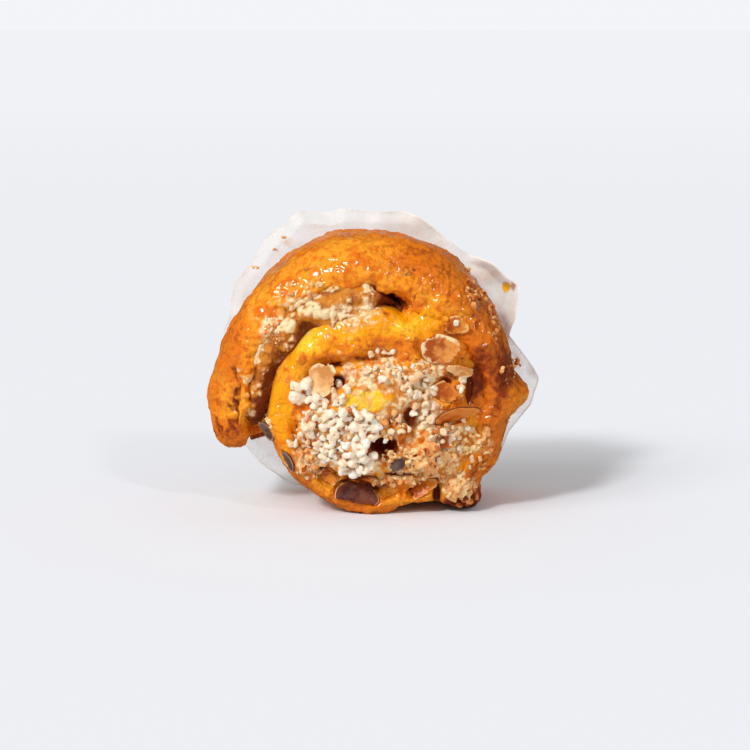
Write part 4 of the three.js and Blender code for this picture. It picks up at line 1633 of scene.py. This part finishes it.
@dataclass
class PearlSugar:
    """Pearl sugar on the face."""

    spread: tuple[Scatter, ...] = scatters(
        (-20.5, 41.5, 4.5, 3.6, 12, 0.9, 1.8, 0.76), (-14.0, 33.0, 8.0, 6.2, 38, 0.8, 1.85, 0.74),
        (-2.0, 30.5, 4.8, 5.2, 29, 0.9, 1.95, 0.84), (-5.0, 20.5, 5.4, 6.0, 27, 0.9, 1.95, 0.8),
        (-12.5, 23.5, 5.0, 5.0, 16, 0.8, 1.75, 0.72), (-22.0, 26.0, 5.0, 3.6, 10, 0.7, 1.3, 0.56),
        (-9.5, 42.0, 3.0, 2.6, 9, 0.8, 1.5, 0.68), (17.5, 38.5, 3.6, 7.0, 20, 0.8, 1.5, 0.62),
        (27.5, 29.0, 4.5, 3.4, 12, 0.8, 1.4, 0.58), (4.0, 54.8, 4.5, 1.6, 7, 0.8, 1.4, 0.66),
        (29.5, 43.5, 1.6, 4.5, 3, 1.0, 1.5, 0.66), (7.0, 28.2, 2.0, 2.4, 4, 0.9, 1.4, 0.66),
        (-19.0, 13.5, 6.0, 3.0, 5, 0.7, 1.2, 0.56), (27.9, 63.4, 0.6, 0.6, 1, 1.2, 1.3, 0.8),
        (30.0, 18.0, 5.0, 5.0, 7, 0.7, 1.3, 0.5), (9.0, 47.5, 10.0, 4.0, 20, 0.6, 1.4, 0.6),
        (15.0, 44.0, 5.0, 4.0, 10, 0.7, 1.4, 0.58), (-11.0, 29.0, 11.0, 9.5, 28, 0.5, 0.9, 0.76),
        (8.0, 31.0, 4.0, 4.0, 8, 0.6, 1.3, 0.62), (24.0, 24.0, 6.0, 6.0, 12, 0.6, 1.3, 0.54),
    )
    bare: tuple[Patch, ...] = Crust.hollows
    seed: int = 7
    rough: float = 0.58
    mottle: float = 0.1
    shade: float = 0.78
    tries: int = 60
    spacing: float = 1.85
    lift_on_grain: Band = (0.5, 1.1)
    lift_on_dough: Band = (-0.2, 0.5)
    voxel: float = 0.24
    grain: float = 0.13
    grain_seed: int = 71

    def build(self, face: Face) -> bpy.types.Mesh:
        """Spreads the grains over the patches and lays each on what is under it.

        Args:
            face: what the grains lie on.

        Returns:
            All grains as one mesh.
        """
        heap = Heap(self.seed, self.rough, self.mottle, self.shade)
        placed: list[tuple[float, float]] = []
        for patch in self.spread:
            left = patch.count
            for _ in range(self.tries * patch.count):
                if left == 0:
                    break
                x, z = patch.draw(heap.draw)
                size = heap.draw.uniform(patch.small, patch.large)
                found = face.hit(x, z)
                near = [spot for spot in placed if math.hypot(x - spot[0], z - spot[1]) < self.spacing]
                if found is None or len(near) > 1 or in_hollow(self.bare, x, z):
                    continue
                point, normal = found
                lift = heap.draw.uniform(*(self.lift_on_grain if near else self.lift_on_dough)) * size
                heap.add(point + normal * lift, size, patch.tint)
                placed.append((x, z))
                left -= 1
        return heap.fused("pearl_sugar_grains", self.voxel, self.grain, Noise(self.grain_seed))

    def dress(self, mesh: bpy.types.Mesh) -> bpy.types.Object:
        """Gives the sugar its finish."""
        return finished(mesh, SUGAR_FINISH.material(), "dough_roll")


@dataclass
class BakedCrumbs:
    """Baked crumbs of filling on the face."""

    spread: tuple[Scatter, ...] = scatters(
        (19.5, 20.5, 3.6, 4.2, 14, 1.8, 2.8, 0.54), (19.5, 20.5, 4.8, 5.4, 110, 0.5, 1.3, 0.58),
        (12.0, 19.5, 4.4, 3.8, 60, 0.4, 1.4, 0.74), (6.8, 20.5, 2.8, 3.4, 24, 0.4, 1.3, 0.66),
        (-20.0, 19.5, 4.6, 4.6, 60, 0.4, 1.3, 0.54), (-15.5, 14.8, 3.6, 3.0, 24, 0.4, 1.1, 0.46),
        (26.5, 18.0, 3.6, 4.0, 26, 0.5, 1.7, 0.78), (32.7, 24.5, 3.4, 4.6, 34, 0.5, 1.8, 0.78),
        (37.6, 25.0, 2.4, 5.6, 22, 0.4, 1.2, 0.5), (36.0, 17.0, 2.4, 3.4, 8, 0.5, 1.3, 0.5),
        (29.0, 8.8, 4.6, 3.4, 30, 0.8, 1.9, 0.76), (29.0, 8.4, 5.4, 4.2, 80, 0.3, 0.9, 0.72),
        # The dark crumbs at (31.0, 3.6) are painted shade under the foot.
        (31.0, 3.6, 5.0, 2.0, 24, 0.4, 1.2, 0.16), (17.5, 12.0, 7.0, 2.6, 40, 0.3, 1.2, 0.66),
        (6.0, 11.8, 6.0, 1.8, 24, 0.3, 1.0, 0.6), (22.0, 33.0, 4.0, 5.0, 20, 0.3, 1.2, 0.5),
        (27.0, 39.0, 3.0, 3.0, 14, 0.3, 1.0, 0.5), (-9.0, 27.0, 13.0, 11.0, 60, 0.3, 1.2, 0.46),
        (5.0, 31.0, 6.0, 5.0, 26, 0.4, 1.3, 0.56), (26.0, 59.5, 4.0, 2.0, 14, 0.3, 1.0, 0.45),
        (34.5, 73.0, 4.0, 5.0, 90, 0.3, 1.0, 0.44), (40.0, 64.0, 2.6, 7.0, 50, 0.3, 1.0, 0.38),
        (46.0, 47.0, 5.0, 4.0, 24, 0.3, 1.0, 0.3), (-33.0, 30.6, 1.8, 1.5, 16, 0.5, 1.2, 0.75),
        (-20.0, 74.0, 10.0, 3.0, 24, 0.25, 1.0, 0.7), (-31.0, 60.0, 3.0, 5.0, 16, 0.25, 0.9, 0.66),
        (-3.0, 20.0, 30.0, 12.0, 40, 0.2, 0.45, 0.1), (20.0, 45.0, 14.0, 14.0, 24, 0.2, 0.45, 0.15),
    )
    on_paper: tuple[Scatter, ...] = scatters(
        (-29.0, 86.4, 0.8, 0.8, 4, 0.3, 0.6, 0.6), (-38.6, 76.6, 1.2, 0.7, 6, 0.3, 0.6, 0.6),
        (-32.0, 82.4, 1.0, 0.7, 5, 0.3, 0.6, 0.6), (24.5, 82.4, 1.6, 0.8, 6, 0.3, 0.6, 0.6),
        (50.0, 44.0, 2.0, 2.0, 8, 0.3, 0.8, 0.3),
    )
    bare: tuple[Patch, ...] = Crust.hollows
    seed: int = 23
    rough: float = 0.55
    mottle: float = 0.17
    size_power: float = 1.6
    pile: float = 0.6
    sunk: float = 0.15
    tint_swing: float = 0.14
    voxel: float = 0.28
    grain: float = 0.2
    grain_seed: int = 73

    MARGIN = 0.8

    def build(self, face: Face, flakes: Face, sheet: Face) -> bpy.types.Mesh:
        """Piles the crumbs up.

        Args:
            face: what most crumbs lie on.
            flakes: what stays bare.
            sheet: the paper, which took a few crumbs.

        Returns:
            All crumbs as one mesh.
        """
        heap = Heap(self.seed, self.rough, self.mottle)
        grounds = [*((patch, face) for patch in self.spread), *((patch, sheet) for patch in self.on_paper)]
        for patch, ground in grounds:
            for _ in range(patch.count):
                x, z = patch.draw(heap.draw)
                size = patch.small + (patch.large - patch.small) * heap.draw.random() ** self.size_power
                found = ground.hit(x, z)
                if found is None or self.on_flake(flakes, x, z, size) or in_hollow(self.bare, x, z):
                    continue
                point, normal = found
                inwards = 1 - ((x - patch.x) / patch.wide) ** 2 - ((z - patch.z) / patch.tall) ** 2
                lift = inwards * self.pile * patch.large * heap.draw.random() - self.sunk * size
                tint = patch.tint + self.tint_swing * (heap.draw.random() - 0.5)
                heap.add(point + normal * lift, size, tint)
        return heap.fused("baked_crumbs", self.voxel, self.grain, Noise(self.grain_seed))

    def on_flake(self, flakes: Face, x: float, z: float, size: float) -> bool:
        """Whether a crumb of this size would lie over a flake."""
        steps = (-self.MARGIN * size, 0.0, self.MARGIN * size)
        return any(flakes.hit(x + across, z + up) for across in steps for up in steps)

    def dress(self, mesh: bpy.types.Mesh) -> bpy.types.Object:
        """Gives the crumbs their finish."""
        return finished(mesh, CRUMB_FINISH.material(), "dough_roll")


@dataclass
class BakingPaper:
    """The baking paper behind the bun, in millimetres as in the part's source."""

    noise: Noise
    x: float = 2.0
    z: float = 45.0
    radius: float = 51.0
    thickness: float = 0.4
    behind: float = 19.4
    dish: float = 0.92
    floor: float = 0.5
    stand_off: float = 0.45
    pleats: float = 0.8
    pleat_waves: tuple[Wave, ...] = (Wave(14, 0, 0, 0.6), Wave(23, 0, 1, 0.4))
    tears: int = 36
    tear_swing: float = 0.35
    tear_reach: Band = (-1.2, 0.8)
    tear_seed: int = 41
    rag: Ripple = Ripple(0.012, 1.3, layers=3)
    rag_span: float = 9.0
    crease_seed: int = 31
    crease_sizes: tuple[int, ...] = (26, 19, 14, 11, 8, 6)
    crease_height: float = 0.075
    crease_least: float = 0.6
    crease_span: float = 20.0
    crease_bend: float = 0.8
    bend_span: float = 3.0
    bend_shift: float = 50.0
    fade_shift: float = 90.0
    stuck_folds: float = 0.4
    free_folds: float = 0.9
    free_band: Band = (0.72, 0.95)
    touch_band: Band = (0.62, 0.9)
    soak_most: float = 1.4
    creased: float = 0.6
    creased_heights: Band = (0.25, 0.8)
    creased_band: Band = (0.72, 0.92)
    rim_band: Band = (0.985, 0.995)
    rim_power: int = 16
    sides: int = 420
    steps: int = 150
    corners: tuple[Bump, ...] = (
        Bump(121, 5.4, 9),
        Bump(145, 3, 14),
        Bump(54, -3.6, 11),
        Bump(30, 5, 7),
        Bump(13, -5, 6),
        Bump(-10, 5, 9),
        Bump(-42, 5, 7),
        Bump(-146, 4, 24),
    )
    curls: tuple[Bump, ...] = (
        Bump(15, -8, 9),
        Bump(33, -5, 8),
        Bump(118, 3, 16),
        Bump(-45, 3, 16),
        Bump(-140, 3, 25),
    )
    # Grease stains, and painted shade: the patches at the right edge (44.5, 55), (49.5, 44.5) and (51, 30)
    # stand for the shade on the paper's turned side.
    soak: tuple[Patch, ...] = patches(
        (44.5, 55.0, 3.0, 8.0, 0.6), (49.5, 44.5, 3.0, 4.0, 0.6), (51.0, 30.0, 2.5, 1.6, 0.8),
        (24.0, 84.5, 2.5, 1.6, 0.6), (40.0, 74.0, 5.0, 3.0, 0.6), (-28.0, 85.0, 3.0, 2.0, 0.7),
        (-39.0, 81.5, 2.0, 1.4, 0.8), (-12.0, 90.0, 5.0, 2.0, 0.5), (44.0, 12.0, 3.0, 6.0, 0.7),
        (48.0, 70.6, 0.8, 1.8, 1.4),
    )
    doubled: tuple[Patch, ...] = patches((20, 91, 16, 6, 1.0), (40, 76, 7, 8, 0.9), (46, 62, 4, 8, 0.6))
    egg: tuple[Patch, ...] = patches((45.8, 69.9, 1.4, 1.8, 1.4))

    LEVEL = 1e-6

    def rim(self, direction: np.ndarray) -> np.ndarray:
        """Radius of the rim: straight tears between uneven corners, with the lower edge above the table."""
        draw = np.random.default_rng(self.tear_seed)
        turns = np.linspace(-math.pi, math.pi, self.tears + 1)
        turns[1:-1] += draw.uniform(-self.tear_swing, self.tear_swing, self.tears - 1) * TURN / self.tears
        reach = self.radius + sum_of_bumps(self.corners, turns)
        reach = reach + draw.uniform(*self.tear_reach, self.tears + 1)
        reach[-1] = reach[0]
        index = np.clip(np.searchsorted(turns, direction, side="right") - 1, 0, self.tears - 1)
        before, after = direction - turns[index], turns[index + 1] - direction
        near, far = reach[index], reach[index + 1]
        free = near * far * np.sin(before + after) / (near * np.sin(before) + far * np.sin(after))
        down = np.maximum(-np.sin(direction), self.LEVEL)
        return np.minimum(free, (self.z - self.floor) / down)

    def creases(self, points: np.ndarray) -> np.ndarray:
        """Sharp crossing folds, as in paper that was crumpled and smoothed out."""
        total = np.zeros(len(points))
        draw = np.random.default_rng(self.crease_seed)
        for size in self.crease_sizes:
            direction = TURN * draw.random()
            bend = Ripple(self.crease_bend, self.bend_span * size, self.bend_shift * draw.random())
            fade = Ripple(1.0, self.crease_span, self.fade_shift * draw.random())
            run = (points[:, 0] * math.cos(direction) + points[:, 2] * math.sin(direction)) / size
            run = run + bend.at(self.noise, points)
            fold = np.abs(run - np.floor(run) - 0.5) - 0.25
            total += fold * size * self.crease_height * (self.crease_least + fade.at(self.noise, points))
        return total

    def build(self) -> bpy.types.Mesh:
        """Shapes the sheet: flat against the base, pleated and curled along its rim."""
        mesh, unit = ball_mesh("baking_paper_sheet", self.sides, self.steps)
        share = np.hypot(unit[:, 0], unit[:, 1])
        direction = np.arctan2(unit[:, 1], unit[:, 0])
        across, up = np.cos(direction), np.sin(direction)
        torn = np.stack([self.rag_span * across, np.zeros_like(share), self.rag_span * up], axis=1)
        ragged = 1 + self.rag.at(self.noise, torn)
        radius = share * np.minimum(self.rim(direction), self.rim(direction) * ragged)
        edge = smooth_step(share, self.dish, 1)
        pleats = self.pleats * sum((wave.at(direction, 0.0) for wave in self.pleat_waves), 1.0)
        depth = self.behind + self.thickness / 2 + edge * (pleats + sum_of_bumps(self.curls, direction))
        points = np.stack([self.x + radius * across, depth, self.z + radius * up], axis=1)
        free = self.stuck_folds + self.free_folds * smooth_step(share, *self.free_band)
        folds = self.creases(points)
        points[:, 1] += self.stand_off + folds * free
        wall = np.sqrt(np.maximum(0, 1 - share**self.rim_power))
        points[:, 1] -= self.thickness / 2 * np.sign(unit[:, 2]) * wall
        write_points(mesh, points)
        creased = smooth_step(np.abs(folds), *self.creased_heights) * smooth_step(share, *self.creased_band)
        write_attribute(mesh, "touch", 1 - smooth_step(share, *self.touch_band))
        write_attribute(mesh, "soak", cover(self.soak, points, self.soak_most))
        write_attribute(mesh, "egg", cover(self.egg, points, self.soak_most))
        write_attribute(mesh, "fold", np.maximum(cover(self.doubled, points), self.creased * creased))
        write_attribute(mesh, "rim", smooth_step(share, *self.rim_band))
        return mesh

    def dress(self, mesh: bpy.types.Mesh) -> bpy.types.Object:
        """Gives the paper its finish."""
        return finished(mesh, PaperFinish().material(), "baking_paper")


# The studio


@dataclass
class Studio:
    """The pale table, the soft light and the camera."""

    target: tuple[float, float, float] = (1.65, 0.0, 43.1)
    distance: float = 687.0
    elevation: float = math.radians(10)
    lens: float = 100.0
    sensor: float = 36.0
    table_size: float = 30.0
    backdrop: Colour = (0.9, 0.908, 0.945, 1.0)
    ambient: Colour = (0.93, 0.89, 0.85, 1.0)
    fill: float = 0.52
    reflected: Colour = (1.0, 0.7, 0.36, 1.0)
    sheen: float = 0.08
    sun_from: tuple[float, float, float] = (-0.62, -0.46, 0.66)
    sun_power: float = 1.0
    sun_spread: float = math.radians(28)
    glint_from: tuple[float, float, float] = (-0.5, -0.6, 0.64)
    glint_power: float = 1.45
    glint_spread: float = math.radians(9)
    spark_from: tuple[float, float, float] = (0.5, -0.62, 0.6)
    spark_power: float = 0.3
    spark_spread: float = math.radians(5)

    def build_table(self) -> bpy.types.Object:
        """A wide pale table under the bun."""
        sheet = bmesh.new()
        bmesh.ops.create_grid(sheet, x_segments=1, y_segments=1, size=self.table_size / 2)
        mesh = bpy.data.meshes.new("table")
        sheet.to_mesh(mesh)
        sheet.free()
        mesh.materials.append(FloorFinish().material())
        table = bpy.data.objects.new("table", mesh)
        bpy.context.collection.objects.link(table)
        table.visible_glossy = False
        return table

    def build_sun(
        self,
        name: str,
        origin: tuple[float, float, float],
        power: float,
        spread: float,
    ) -> bpy.types.Object:
        """One far light.

        Args:
            name: the light's name.
            origin: the direction that it comes from.
            power: its strength.
            spread: how wide it looks, in radians.

        Returns:
            The light.
        """
        lamp = bpy.data.lights.new(name, "SUN")
        lamp.energy = power
        lamp.angle = spread
        light = bpy.data.objects.new(name, lamp)
        light.rotation_mode = "QUATERNION"
        light.rotation_quaternion = Vector(origin).to_track_quat("Z", "Y")
        bpy.context.collection.objects.link(light)
        return light

    def build_lights(self) -> None:
        """A wide soft light and a small bright one from the upper left, and a faint one at the right."""
        key = self.build_sun("key", self.sun_from, self.sun_power, self.sun_spread)
        key.visible_glossy = False
        self.build_sun("glint", self.glint_from, self.glint_power, self.glint_spread)
        self.build_sun("spark", self.spark_from, self.spark_power, self.spark_spread)

    def build_sky(self) -> None:
        """An even sky: pale to look at, soft as a light, dim and warm in what it makes shine."""
        world = bpy.data.worlds.new("sky")
        world.use_nodes = True
        nodes = Nodes(world.node_tree)
        skies = ((self.backdrop, 1.0), (self.ambient, self.fill), (self.reflected, self.sheen))
        seen, lit, mirrored = (
            nodes.node("ShaderNodeBackground", {}, {"Color": colour, "Strength": strength})
            for colour, strength in skies
        )
        rays = ("Is Glossy Ray", "Is Camera Ray")
        by_shine, by_camera = (nodes.node("ShaderNodeLightPath", {}, {}, ray) for ray in rays)
        unseen = nodes.node("ShaderNodeMixShader", {}, {0: by_shine, 1: lit, 2: mirrored})
        nodes.close(
            "ShaderNodeOutputWorld",
            nodes.node("ShaderNodeMixShader", {}, {0: by_camera, 1: unseen, 2: seen}),
        )
        bpy.context.scene.world = world

    def build_camera(self) -> None:
        """A long lens, slightly above the bun."""
        lens = bpy.data.cameras.new("camera")
        lens.lens = self.lens
        lens.sensor_width = self.sensor
        camera = bpy.data.objects.new("camera", lens)
        back = Vector((0, -math.cos(self.elevation), math.sin(self.elevation)))
        camera.location = (Vector(self.target) + back * self.distance) * MM
        camera.rotation_mode = "QUATERNION"
        camera.rotation_quaternion = back.to_track_quat("Z", "Y")
        bpy.context.collection.objects.link(camera)
        bpy.context.scene.camera = camera
        bpy.context.scene.view_settings.view_transform = "Standard"


def main() -> None:
    """Builds the bun from the dough outwards, then the studio."""
    logging.basicConfig(level=logging.INFO)
    roll = Roll()
    flakes = AlmondFlakes(Noise(5))
    crust = Crust(roll, Noise(11), flakes.seats())
    glaze = CrustFinish().material()
    outer = DoughRoll(
        crust,
        "dough_roll_outer_turn",
        start=-240,
        end=197,
        sides=108,
        steps=880,
        sunk_until=(-196, -182),
    )
    hidden = DoughRoll(
        crust,
        "dough_roll_inner_turns",
        start=-720,
        end=-225,
        sides=40,
        steps=300,
        sunk_until=(-200, -190),
    )
    swirl = SwirlFace(crust)
    dough_meshes = [turn.build() for turn in (outer, hidden, swirl)]
    for turn, mesh in zip((outer, hidden, swirl), dough_meshes):
        turn.dress(mesh, glaze)
    filling = AlmondFilling(roll, Noise(13))
    filling_mesh = filling.build()
    filling.dress(filling_mesh)
    nuts = flakes.dress()
    paper = BakingPaper(Noise(17))
    paper_mesh = paper.build()
    face = Face([*dough_meshes, filling_mesh])
    crumbs = BakedCrumbs()
    crumb_mesh = crumbs.build(face, Face([nut.data for nut in nuts]), Face([paper_mesh]))
    crumbs.dress(crumb_mesh)
    top = Face([*dough_meshes, filling_mesh, *(nut.data for nut in nuts)])
    sugar = PearlSugar()
    sugar.dress(sugar.build(top))
    paper.dress(paper_mesh)
    studio = Studio()
    studio.build_table()
    studio.build_lights()
    studio.build_sky()
    studio.build_camera()


if __name__ == "__main__":
    main()
